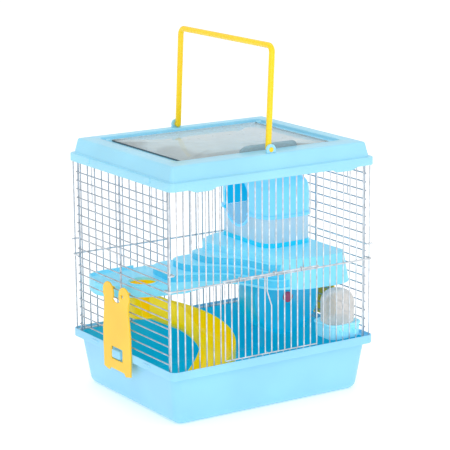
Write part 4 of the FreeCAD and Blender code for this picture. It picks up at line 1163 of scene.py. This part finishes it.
@dataclass
class Hatch:
    """Clear hatch: a thin sheet and a finger strip that curls at its ends."""

    shop: Workshop
    corner: float = 4.0
    strip: float = 1.0
    strip_ease: float = 12.0
    strip_back: float = 3.6

    def sheet(self) -> None:
        """Make the clear sheet."""
        low, high = self.shop.span("hatch_panel")
        rect = (low[0], high[0], low[1], high[1], self.corner)
        rows = [grown(rect, -0.8, low[2]), grown(rect, -0.2, low[2] + 0.2),
                grown(rect, 0.0, low[2] + 0.7), grown(rect, 0.0, high[2] - 0.7),
                grown(rect, -0.2, high[2] - 0.2), grown(rect, -0.8, high[2])]
        grid = rect_rows(rows, 6, 12)
        # The sheet's edge bands take the second slot, painted dark grey as painted shade.
        piece = Mould().grid(grid, slots=(0, 1, 1, 1, 0, 0)).cast("hatch_sheet", 30.0)
        self.shop.hand_over(piece, "hatch", "clear_panel", [Finish.PANEL, Finish.EDGE],
                            "hatch_panel")

    def finger_strip(self) -> None:
        """Make the finger strip.

        Its line runs along the sheet's front edge and bends back at both ends by a
        squared ramp; its height falls at the ends as a quarter ellipse.
        """
        low, high = self.shop.span("hatch_grip")
        x = np.linspace(low[0], high[0], 61)
        end = np.clip(1.0 - np.minimum(x - low[0], high[0] - x) / self.strip_ease, 0.0, 1.0)
        y = low[1] + self.strip + self.strip_back * end ** 2
        z1 = low[2] + (high[2] - low[2]) * np.sqrt(np.clip(1.0 - 0.92 * end ** 2, 0.0, 1.0))
        t = self.strip
        section = [(-t, 0.0), (t, 0.0), (t, 1.0), (0.5 * t, 1.06), (-0.5 * t, 1.06), (-t, 1.0)]
        rows = np.stack([np.stack([x, y + a, low[2] + (z1 - low[2] - 0.5) * min(b, 1.0)
                                   + 0.45 * (b > 1.0)], -1) for a, b in section], 1)
        piece = Mould().grid(rows).cast("hatch_strip")
        mesh = bmesh.new()
        mesh.from_mesh(piece.data)
        bmesh.ops.recalc_face_normals(mesh, faces=mesh.faces)
        mesh.to_mesh(piece.data)
        mesh.free()
        self.shop.hand_over(piece, "hatch", "clear_panel", [Finish.STRIP], "hatch_grip")

    def build(self) -> None:
        """Make the sheet and the strip."""
        self.sheet()
        self.finger_strip()


@dataclass
class Bail:
    """Carry handle: one bent bar with domed feet."""

    shop: Workshop
    radius: float = 3.7
    height: float = 125.0
    half_span: float = 104.5
    lean: float = 2.9
    bend: float = 8.0
    centre_x: float = 2.3
    pivot_above: float = 4.2

    def build(self) -> None:
        """Make the handle."""
        pivot = self.shop.span("lid_frame")[1][2] + self.pivot_above
        a = math.radians(self.lean)
        up = np.asarray([math.sin(a), 0.0, math.cos(a)])
        front = np.asarray([self.centre_x, -self.half_span, pivot])
        back = np.asarray([self.centre_x, self.half_span, pivot])
        points = [front - up * self.radius, front + up * self.height,
                  back + up * self.height, back - up * self.radius]
        path, size = domed(rounded_path(points, self.bend, 10), self.radius, 6)
        plane = (math.cos(a), 0.0, -math.sin(a))
        piece = Mould().grid(tube_rows(path, size, plane, 20)).cast("handle_bar")
        self.shop.hand_over(piece, "handle", "yellow_plastic", [Finish.HANDLE],
                            "carry_handle")


@dataclass
class WireBody:
    """The four welded wire walls and the front door."""

    shop: Workshop
    wire: float = 0.85
    rail: float = 1.1
    post: float = 1.3
    loop: float = 0.8
    first_x: float = -147.0
    count: int = 30
    wall_y: float = 117.0
    rail_y: float = 118.97
    foot: float = 68.25
    top: float = 300.2
    stub: float = 71.6
    mid: float = 171.1
    foot_rail: float = 69.4
    top_rail: float = 300.3
    side_x: float = 146.4
    post_x: float = 144.23
    post_y: float = 109.5
    post_shift: float = 5.0
    side_first: float = 79.8
    side_pitch: float = 11.1
    side_count: int = 19
    heavy: int = 10
    gap_from: int = 7
    gap_to: int = 21
    door_play: float = 3.2
    door_y: float = -121.57
    door_foot: float = 74.2
    door_bars: int = 13
    jogged: int = 6
    jog: float = 6.4
    jog_below_mid: Tuple[float, float] = (37.0, 18.0)
    bead: Point = (0.95, 0.95, 0.5)

    def front_x(self) -> np.ndarray:
        """Return the x of each upright in the front and back walls."""
        return np.linspace(self.first_x, -self.first_x, self.count)

    def uprights(self, x: np.ndarray, y: float, low: float,
                 high: float) -> Tuple[np.ndarray, np.ndarray]:
        """Return the lower and upper ends of upright wires."""
        start = np.stack([x, np.full(len(x), y), np.full(len(x), low)], -1)
        end = start.copy()
        end[:, 2] = high
        return start, end

    def long_wall(self, side: float) -> None:
        """Make the front (side -1) or back (side 1) wall and its rails."""
        name = "front" if side < 0 else "back"
        x = self.front_x()
        y = side * self.wall_y
        mould = Mould()
        inside = (np.arange(self.count) > self.gap_from) & (np.arange(self.count) < self.gap_to)
        cut = inside if side < 0 else np.zeros(self.count, bool)
        mould.rods(*self.uprights(x[~cut], y, self.foot, self.top), self.wire)
        if cut.any():
            mould.rods(*self.uprights(x[cut], y, self.foot, self.stub), self.wire)
            mould.rods(*self.uprights(x[cut], y, self.mid - self.rail, self.top), self.wire)
        heights = np.repeat([self.foot_rail, self.mid], self.count)
        across = np.tile(x, 2)
        beads = np.stack([across, np.full(2 * self.count, y + side * self.wire), heights], -1)
        mould.beads(beads, (0.75, 0.5, 0.75))
        # The back wall takes the darker copy of the wire: painted shade.
        finish = Finish.WIRE if side < 0 else Finish.WIRE_PAINTED_SHADE
        self.shop.hand_over(mould.cast(name + "_wires"), "cage", "wire", [finish],
                            name + "_wall")
        reach = -self.first_x + self.wire + self.rail + 0.25
        turn = side * (self.post_y - self.post - self.rail - 0.35)
        tip = self.side_x - 1.6
        rail = side * self.rail_y
        rails = Mould().tube([(-side * tip, turn, self.mid), (-side * reach, turn, self.mid),
                              (-side * reach, rail, self.mid), (side * reach, rail, self.mid),
                              (side * reach, turn, self.mid), (side * tip, turn, self.mid)],
                             self.rail, 2.4, (0.0, 0.0, 1.0), 10)
        end = -self.first_x - 0.4
        z = np.asarray([self.foot_rail, self.top_rail])
        start = np.stack([np.full(2, -end), np.full(2, rail), z], -1)
        rails.rods(start, start * (-1.0, 1.0, 1.0), self.rail)
        self.shop.hand_over(rails.cast(name + "_rails"), "cage", "wire", [Finish.WIRE],
                            name + "_wall_rails")

    def short_wall(self, side: float) -> None:
        """Make the left (side -1) or right (side 1) wall and its heavier rail."""
        name = "left" if side < 0 else "right"
        level = np.delete(np.arange(self.side_count), self.heavy)
        z = self.side_first + self.side_pitch * level
        x = side * self.side_x
        reach = self.post_y + self.post
        start = np.stack([np.full(len(z), x), np.full(len(z), -reach), z], -1)
        mould = Mould().rods(start, start * (1.0, -1.0, 1.0), self.wire)
        y = np.asarray([-self.post_y, -side * self.post_shift, self.post_y])
        low = np.stack([np.full(3, side * self.post_x), y, np.full(3, self.foot)], -1)
        high = low.copy()
        high[:, 2] = self.top
        mould.rods(low, high, self.post, 12)
        grid_y, grid_z = (a.ravel() for a in np.meshgrid(y, z))
        beads = np.stack([np.full(len(grid_y), side * (self.side_x - self.wire)), grid_y,
                          grid_z], -1)
        mould.beads(beads, (0.5, 0.75, 0.75))
        # The side walls take the darker copy of the wire: painted shade.
        self.shop.hand_over(mould.cast(name + "_wires"), "cage", "wire", [Finish.WIRE_PAINTED_SHADE],
                            name + "_wall")
        inner = side * (self.side_x - self.wire - 2 * self.post - self.rail - 0.04)
        turn = self.wall_y + self.wire + self.rail + 0.35
        tip = side * 150.8
        height = self.side_first + self.side_pitch * self.heavy
        rail = Mould().tube([(tip, side * turn, height), (inner, side * turn, height),
                             (inner, -side * turn, height), (tip, -side * turn, height)],
                            self.rail, 2.4, (0.0, 0.0, 1.0), 10)
        self.shop.hand_over(rail.cast(name + "_rail"), "cage", "wire", [Finish.WIRE],
                            name + "_wall_rail")

    def rings(self, x: np.ndarray, height: float) -> Mould:
        """Make the door's hinge rings.

        A point is the ring's middle, plus the ring's radius plus the wire's times
        cos b, in the direction of the turn a, plus the wire's radius times sin b
        along x.

        Args:
            x: the rings' places.
            height: height of the rings' middles.
        Returns:
            A mould with the rings in it.
        """
        big = self.rail + 0.3 + self.loop
        a = np.linspace(0.0, 2 * np.pi, 28, endpoint=False)[:, None]
        b = np.linspace(0.0, 2 * np.pi, 10, endpoint=False)[None, :]
        out = big + self.loop * np.cos(b)
        mould = Mould()
        for place in x:
            mould.grid(np.dstack([place - self.loop * np.sin(b) + 0 * a,
                                  self.door_y + out * np.cos(a), height + out * np.sin(a)]),
                       loop=True)
        return mould

    def door(self) -> None:
        """Make the front door, its sprung bar and its rings."""
        x = self.front_x()
        x0 = x[self.gap_from] + self.door_play
        x1 = x[self.gap_to] - self.door_play
        rail_z = self.shop.span("front_door")[1][2] - self.rail
        top = rail_z - self.rail
        low = self.door_foot
        bars = np.linspace(x0, x1, self.door_bars + 2)
        straight = np.delete(bars, self.jogged + 1)
        mould = Mould().rods(*self.uprights(straight, self.door_y, low, top + 0.3), self.wire)
        mould.rods(np.asarray([x0 - 0.5, self.door_y, low]),
                   np.asarray([x1 + 0.5, self.door_y, low]), self.wire)
        mould.rods(np.asarray([x0 - self.door_play, self.door_y, rail_z]),
                   np.asarray([x1 + self.door_play, self.door_y, rail_z]), self.rail, 12)
        ends = np.stack([np.tile(bars, 2), np.full(2 * len(bars), self.door_y),
                         np.repeat([low + self.wire, top], len(bars))], -1)
        mould.beads(ends, self.bead)
        self.shop.hand_over(mould.cast("door_frame"), "door", "wire", [Finish.WIRE],
                            "front_door")
        x_bar = bars[self.jogged + 1]
        jog_low, jog_high = (self.mid - drop for drop in self.jog_below_mid)
        sprung = Mould().tube([(x_bar, self.door_y, low), (x_bar, self.door_y, jog_low),
                               (x_bar - self.jog, self.door_y, jog_high),
                               (x_bar - self.jog, self.door_y, top + 0.3)],
                              self.wire, 3.0, (0.0, 1.0, 0.0), 10)
        self.shop.hand_over(sprung.cast("door_sprung_bar"), "door", "wire", [Finish.WIRE],
                            "door_latch_bar")
        pitch = x[1] - x[0]
        places = x[[self.gap_from + 2, (self.gap_from + self.gap_to) // 2,
                    self.gap_to - 3]] + 0.4 * pitch
        self.shop.hand_over(self.rings(places, rail_z).cast("door_rings"), "cage", "wire",
                            [Finish.WIRE], "door_hinge_loops")

    def build(self) -> None:
        """Make every wall and the door."""
        for side in (-1.0, 1.0):
            self.long_wall(side)
            self.short_wall(side)
        self.door()


@dataclass
class Slide:
    """Slide: a chute that winds down from an entry cup."""

    shop: Workshop
    hole: Tuple[float, float] = (-90.0, 45.0)
    middle: Tuple[float, float] = (-50.0, 2.0)
    turn_r: float = 38.0
    end_angle: float = -140.0
    floor_top: float = 96.0
    floor_end: float = 2.3
    width: float = 46.0
    depth: Tuple[float, float] = (35.0, 24.0)
    wall: float = 1.8
    curve: float = 11.0
    cup_r: float = 20.2
    cup_top: float = 138.5

    def section(self, half: np.ndarray, depth: np.ndarray) -> Tuple[np.ndarray, np.ndarray]:
        """Work out the chute's section at each row.

        The inner skin runs from the left rim down, round a quarter circle, across the
        floor and up; the outer skin runs back the same way, one wall further out.

        Args:
            half: half width of each row.
            depth: height of each row's side walls.
        Returns:
            Distance to the left and height above the floor, shaped (rows, points).
        """
        quarter = np.radians(np.linspace(0.0, 90.0, 8))
        big, small = self.curve, self.curve - self.wall
        side_in = self.wall + small * (1 - np.cos(quarter))
        up_in = self.wall + small * (1 - np.sin(quarter))
        side_out = big * (1 - np.cos(quarter))
        up_out = big * (1 - np.sin(quarter))
        h, d = half[:, None], depth[:, None]
        one = np.ones_like(h)
        rim = self.wall / 2
        left_in = np.hstack([h - rim, h - self.wall + 0.2, h - self.wall, h - side_in])
        high_in = np.hstack([d, d - 0.15, d - 0.6, up_in * one])
        right_out = np.hstack([h - rim, h - 0.2, h, h - side_out])
        high_out = np.hstack([d, d - 0.15, d - 0.6, up_out * one])
        left = np.hstack([left_in, -left_in[:, :0:-1], -right_out, right_out[:, :0:-1]])
        up = np.hstack([high_in, high_in[:, :0:-1], high_out, high_out[:, :0:-1]])
        return left, up

    def chute(self) -> np.ndarray:
        """Work out the chute's grid along its straight run and its falling arc."""
        hole, middle = np.asarray(self.hole), np.asarray(self.middle)
        away = hole - middle
        start = math.degrees(math.atan2(away[1], away[0])
                             - math.acos(self.turn_r / float(np.hypot(*away))))
        touch = middle + self.turn_r * np.asarray([math.cos(math.radians(start)),
                                                   math.sin(math.radians(start))])
        straight = float(np.hypot(*(touch - hole)))
        heading = (touch - hole) / straight
        s = np.linspace(0.0, 1.0, 9)[:-1]
        run = hole + heading * (straight * s)[:, None]
        angle = np.radians(np.linspace(start, self.end_angle, 49))
        arc = middle + self.turn_r * np.stack([np.cos(angle), np.sin(angle)], -1)
        ahead = np.concatenate([np.tile(heading, (len(s), 1)),
                                np.stack([np.sin(angle), -np.cos(angle)], -1)])
        path = np.concatenate([run, arc])
        arc_length = math.radians(start - self.end_angle) * self.turn_r
        total = straight + arc_length
        gone = np.concatenate([straight * s, straight + arc_length
                               * np.linspace(0.0, 1.0, len(angle))]) / total
        floor = self.floor_top + (self.floor_end - self.floor_top) * gone
        half = np.concatenate([self.cup_r + (self.width / 2 - self.cup_r) * s,
                               np.full(len(angle), self.width / 2)])
        depth = self.depth[0] + (self.depth[1] - self.depth[0]) * gone
        left, up = self.section(half, depth)
        side = np.stack([-ahead[:, 1], ahead[:, 0]], -1)
        plan = path[:, None, :] + side[:, None, :] * left[:, :, None]
        return np.dstack([plan, floor[:, None] + up])

    def cup(self) -> np.ndarray:
        """Work out the entry cup, its wall low where the chute leaves.

        The wall's height drops by a smooth step within a right angle of the chute's
        direction; below the platform a ring carries on all the way round.
        """
        r, t, low = self.cup_r, self.wall, self.floor_top
        rows = lathe_rows([(r - 4.0, 0.0), (r - 1.0, 0.4), (r, 1.6), (r, 2.4), (r - t / 2, 3.0),
                           (r - t, 2.4), (r - t, t + 1.0), (r - t - 1.0, t + 0.2),
                           (r - t - 4.0, t)],
                          (self.hole[0], self.hole[1], low), steps=64)
        ahead = np.asarray(self.middle) - self.hole
        tilt = np.arctan2(rows[0, :, 1] - self.hole[1], rows[0, :, 0] - self.hole[0])
        off = np.abs((tilt - math.atan2(ahead[1], ahead[0]) + np.pi) % (2 * np.pi) - np.pi)
        ease = np.clip((off - math.radians(70.0)) / math.radians(25.0), 0.0, 1.0)
        lift = ease * ease * (3 - 2 * ease) * (self.cup_top - low - 3.0)
        rows[3:6, :, 2] += lift
        return rows

    def build(self) -> None:
        """Make the slide."""
        grid = self.chute()
        mould = Mould().grid(grid, poles=False)
        half = grid.shape[1] // 2
        index = np.arange(grid.shape[1])
        inner, outer = index[:half], index[::-1][:half]
        cap = np.stack([inner[:-1], inner[1:], outer[1:], outer[:-1]], -1)
        last = (grid.shape[0] - 1) * grid.shape[1]
        mould.faces.extend(cap.tolist() + (cap[:, ::-1] + last).tolist())
        mould.paint.extend([0] * (2 * len(cap)))
        mould.grid(self.cup())
        r, t, top = self.cup_r, self.wall, self.cup_top
        low = self.floor_top + self.depth[0] - 1.0
        ring = [(r, low + 0.5), (r, top - 0.5), (r - 0.5, top), (r - t + 0.5, top),
                (r - t, top - 0.5), (r - t, low + 0.5), (r - t + 0.5, low), (r - 0.5, low)]
        mould.grid(lathe_rows(ring, (self.hole[0], self.hole[1], 0.0), steps=64), loop=True)
        self.shop.hand_over(mould.cast("slide_chute"), "cage", "slide_plastic",
                            [Finish.SLIDE], "slide")


@dataclass
class Hide:
    """Hide house: deep ring, frosted body, rounded roof with a lip and a doorway."""

    shop: Workshop
    corner: float = 20.0
    wall: float = 1.8
    lip_high: float = 4.0
    top_round: float = 18.0
    bulge: float = 0.7
    door_r: float = 28.5
    door_y: float = 46.5
    door_foot_z: float = 225.4
    door_head_z: float = 229.9
    cutter_long: float = 22.0
    cutter_lead: float = 6.0
    cutter_steps: int = 64

    def cutter(self, x0: float) -> bpy.types.Object:
        """Make the doorway's cutter: a bar of half-round foot and head.

        A point is the nearer centre plus the radius times (cos, sin) of its angle.

        Args:
            x0: where it starts.
        Returns:
            The cutter.
        """
        low, high = self.door_foot_z, self.door_head_z
        turn = np.linspace(0.0, 2 * np.pi, self.cutter_steps, endpoint=False)
        y = self.door_y + self.door_r * np.cos(turn)
        z = np.where(np.sin(turn) > 0, high, low) + self.door_r * np.sin(turn)
        rows = np.stack([np.stack([np.full_like(y, x), y, z], -1)
                         for x in (x0, x0 + self.cutter_long)])
        return Mould().grid(rows).cast("doorway_cutter")

    def build(self) -> None:
        """Make the ring, the body, the doorway's rim and the roof."""
        low, high = self.shop.span("house_ring")
        rect = (low[0], high[0], low[1], high[1], self.corner)
        z0, z1 = low[2], high[2]
        ring = rect_rows([grown(rect, -0.4, z0), grown(rect, 0.0, z0 + 0.4),
                          grown(rect, 0.0, z1 - 0.6), grown(rect, -0.5, z1),
                          grown(rect, -2.6, z1), grown(rect, -3.0, z1 - 0.4),
                          grown(rect, -3.0, z0)], 10, 12)
        self.shop.hand_over(Mould().grid(ring, loop=True).cast("hide_ring"), "cage",
                            "deep_blue_plastic", [Finish.DEEP_BLUE_AND_PAINTED_SHADE], "house_ring")
        z0, z1 = (edge[2] for edge in self.shop.span("house_body"))
        t = self.wall
        body = rect_rows([grown(rect, -0.9, z0), grown(rect, -0.6, z0 + 0.5),
                          grown(rect, -0.6, z1 - 0.3), grown(rect, -0.9, z1),
                          grown(rect, -0.3 - t, z1), grown(rect, -0.6 - t, z1 - 0.3),
                          grown(rect, -0.6 - t, z0 + 0.3), grown(rect, -0.3 - t, z0)], 10, 16)
        piece = Mould().grid(body, loop=True).cast("hide_body")
        carve(piece, self.cutter(rect[0] - self.cutter_lead))
        self.shop.hand_over(piece, "cage", "frosted_plastic", [Finish.HOUSE], "house_body")
        self.shop.soften("house_doorway_rim", "cage", "roof_plastic", Finish.ROOF, 0.4)
        self.roof(rect)

    def roof(self, rect: Tuple[float, float, float, float, float]) -> None:
        """Make the roof.

        Its walls stand out by the bulge times the sine of their height, and its top
        edge is a quarter circle: in by the radius times one minus the cosine, up by
        the radius times the sine.

        Args:
            rect: the house's plan.
        """
        z0, z1 = (edge[2] for edge in self.shop.span("house_roof"))
        knee = z1 - self.top_round
        outer = [grown(rect, 2.6, z0), grown(rect, 3.0, z0 + 0.6),
                 grown(rect, 3.0, z0 + self.lip_high - 1.2),
                 grown(rect, 2.3, z0 + self.lip_high - 0.2),
                 grown(rect, 1.2, z0 + self.lip_high), grown(rect, 0.4, z0 + self.lip_high + 0.4)]
        rise = np.linspace(z0 + self.lip_high + 1.5, knee, 8)
        outer += [grown(rect, self.bulge * math.sin(math.pi * k / 7), z)
                  for k, z in enumerate(rise)]
        inner: List[Rect] = [grown(rect, -self.wall, z0 + 0.3), grown(rect, -self.wall, knee)]
        for turn in np.radians(np.linspace(10.0, 90.0, 9)):
            draw, up = 1 - math.cos(turn), math.sin(turn)
            outer.append(grown(rect, -self.top_round * draw, knee + self.top_round * up))
            small = self.top_round - self.wall
            inner.append(grown(rect, -self.wall - small * draw, knee + small * up))
        piece = Mould().grid(rect_rows(inner[::-1] + outer, 10, 16)).cast("hide_roof")
        carve(piece, self.cutter(rect[0] - self.cutter_lead))
        # Faces that point inward take the deep blue: painted shade inside the roof.
        middle = np.asarray([(rect[0] + rect[1]) / 2, (rect[2] + rect[3]) / 2, z0 - 20.0]) * MM
        outward = face_vectors(piece, "center") - middle
        set_slots(piece, (face_vectors(piece, "normal") * outward).sum(1) < 0.0)
        self.shop.hand_over(piece, "roof", "roof_plastic", [Finish.ROOF, Finish.DEEP_BLUE_AND_PAINTED_SHADE],
                            "house_roof")


@dataclass
class Wheel:
    """Running wheel: closed disc, ribbed track and hub, with its cap."""

    shop: Workshop
    hub: float = 8.0
    hub_long: float = 24.0
    wall: float = 1.8
    bore: float = 2.06
    slats: int = 30

    def build(self) -> None:
        """Make the wheel and its cap."""
        low, high = self.shop.span("wheel")
        r = (high[0] - low[0]) / 2
        x, z = (low[0] + high[0]) / 2, (low[2] + high[2]) / 2
        y0, y1, t = low[1], high[1], self.wall
        end = y0 + self.hub_long
        profile = [(self.bore, y0), (self.hub + 4.0, y0), (self.hub + 4.6, y0 + 0.3),
                   (r - 8.6, y0 + 0.3), (r - 8.0, y0), (r - 2.4, y0), (r - 0.8, y0 + 0.6),
                   (r, y0 + 2.2), (r, y1 - 0.6), (r - 0.3, y1), (r - t + 0.3, y1),
                   (r - t, y1 - 0.4), (r - t, y0 + t + 1.0), (r - t - 1.0, y0 + t),
                   (self.hub + 0.6, y0 + t), (self.hub, y0 + t + 0.6), (self.hub, end - 0.5),
                   (self.hub - 0.5, end), (self.bore + 0.3, end), (self.bore, end - 0.4)]
        mould = Mould().grid(lathe_rows(profile, (x, 0.0, z), "y", 96), loop=True)
        turn = np.linspace(0.0, 2 * np.pi, self.slats, endpoint=False)
        place = np.stack([x + (r - t) * np.cos(turn), np.full(self.slats, y0 + t),
                          z + (r - t) * np.sin(turn)], -1)
        mould.rods(place, place + (0.0, y1 - y0 - t - 1.0, 0.0), 0.8, 8)
        spoke = np.radians(22.5 + 45.0 * np.arange(8))
        way = np.stack([np.cos(spoke), np.zeros(8), np.sin(spoke)], -1)
        middle = np.asarray([x, y0 + t, z])
        mould.rods(middle + way * (self.hub - 1.0), middle + way * (r - t), 1.4, 10)
        self.shop.hand_over(mould.cast("wheel_drum"), "wheel_body", "deep_blue_plastic",
                            [Finish.WHEEL], "wheel")
        low, high = self.shop.span("wheel_hub_cap")
        cap_r, y0, y1 = (high[0] - low[0]) / 2, low[1], high[1]
        profile = [(cap_r - 3.0, y0), (cap_r - 1.2, y0 + 0.4), (cap_r - 0.2, y0 + 1.4),
                   (cap_r, y0 + 2.2), (cap_r, y1 - 0.2), (cap_r - 0.4, y1)]
        cap = Mould().grid(lathe_rows(profile, (x, 0.0, z), "y", 40)).cast("wheel_cap")
        self.shop.hand_over(cap, "wheel_body", "red_plastic", [Finish.RED], "wheel_hub_cap")


@dataclass
class Feeder:
    """Feeder: a rounded cup with a rolled lip and a clear dome hopper."""

    shop: Workshop
    corner: float = 14.0
    lip: float = 1.6
    wall: float = 1.8
    neck: float = 3.0
    skin: float = 1.5
    step_up: float = 20.0

    def build(self) -> None:
        """Make the cup and the dome."""
        low, high = self.shop.span("feeder_base")
        rect = (low[0], high[0], low[1], high[1], self.corner)
        z0, z1, e, t = low[2], high[2], self.lip, self.wall
        rows = [grown(rect, -e - 5.0, z0), grown(rect, -e - 2.2, z0 + 0.5),
                grown(rect, -e - 0.6, z0 + 2.2), grown(rect, -e, z0 + 5.0),
                grown(rect, -e, z1 - 3.4), grown(rect, -0.5, z1 - 2.6),
                grown(rect, 0.0, z1 - 2.0), grown(rect, 0.0, z1 - 0.8),
                grown(rect, -0.5, z1 - 0.1), grown(rect, -1.2, z1),
                grown(rect, -e - t + 0.4, z1), grown(rect, -e - t, z1 - 0.6),
                grown(rect, -e - t, z0 + t + 1.2), grown(rect, -e - t - 1.2, z0 + t)]
        cup = Mould().grid(rect_rows(rows, 10, 8)).cast("feeder_cup")
        self.shop.hand_over(cup, "cage", "platform_plastic", [Finish.CUP], "feeder_base")
        low, high = self.shop.span("feeder_dome")
        r = (high[0] - low[0]) / 2
        x, y = (low[0] + high[0]) / 2, (low[1] + high[1]) / 2
        neck = r - self.neck
        knee = low[2] + self.step_up
        crown = 0.8 * r
        top = high[2]
        bend = np.radians(np.linspace(0.0, 90.0, 10))
        outer = [(neck, low[2]), (neck, knee - 2.4), (neck + 0.5, knee - 2.0),
                 (r - 0.6, knee - 2.0), (r, knee - 1.4)]
        outer += [(r - crown * (1 - math.cos(a)), top - crown * (1 - math.sin(a))) for a in bend]
        s = self.skin
        inner = [(max(q - s, 0.3), h - (s if h > knee else 0.0)) for q, h in outer[:0:-1]]
        profile = outer + inner + [(neck - s, low[2])]
        rows = lathe_rows(profile, (x, y, 0.0), steps=56)
        dome = Mould().grid(rows, loop=True).cast("feeder_hopper")
        self.shop.hand_over(dome, "cage", "dome_plastic", [Finish.DOME], "feeder_dome")


# ------------------------------------------------------------------ cage
SOFTENED: Dict[str, Tuple[str, str, Finish, float, Optional[Finish]]] = {
    "low_platform": ("cage", "platform_plastic", Finish.PLATFORM, 1.4, None),
    # The stairs' upright faces take a darker copy of the platform blue as painted shade.
    "stairs": ("cage", "platform_plastic", Finish.PLATFORM, 1.6, Finish.PLATFORM_PAINTED_SHADE),
    "high_platform": ("cage", "platform_plastic", Finish.PLATFORM, 2.2, None),
    "latch_left": ("latch_left_body", "latch_plastic", Finish.LATCH, 0.7, None),
    "latch_right": ("latch_right_body", "latch_plastic", Finish.LATCH, 0.7, None),
    "wheel_bracket": ("cage", "latch_plastic", Finish.LATCH, 0.5, None),
}

CARRIED: Dict[str, Finish] = {
    "lid_clip_wires": Finish.WIRE,
    "door_latch_hook": Finish.WIRE,
    "hatch_hinge_pins": Finish.PANEL,
    "hatch_hinge_lugs": Finish.LID,
    "handle_pegs": Finish.HANDLE,
    "latch_clips_left": Finish.LATCH,
    "latch_clips_right": Finish.LATCH,
    "platform_clips": Finish.PLATFORM,
    "wheel_axle": Finish.STEEL,
    "feeder_clips": Finish.CUP,
}


def corners() -> List[List[float]]:
    """Return the whole object's box as plain lists of numbers."""
    return [[float(v) for v in corner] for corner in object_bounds()]


def main() -> None:
    """Build the cage's visual model in order and report each piece."""
    logging.basicConfig(level=logging.INFO, format="%(name)s: %(message)s")
    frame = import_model()
    Studio().build()
    paint = Paintbox()
    shop = Workshop(frame["nodes"], paint)
    for part in (Tray, Lid, Hatch, Bail, WireBody, Slide, Hide, Wheel, Feeder):
        part(shop).build()
    for name, (body, slot, finish, width, upright) in SOFTENED.items():
        shop.soften(name, body, slot, finish, width, upright)
    for name, finish in CARRIED.items():
        paint.dress(frame["nodes"][name], finish)
        LOG.info("%s wears %s", name, finish.name)


if __name__ == "__main__":
    main()
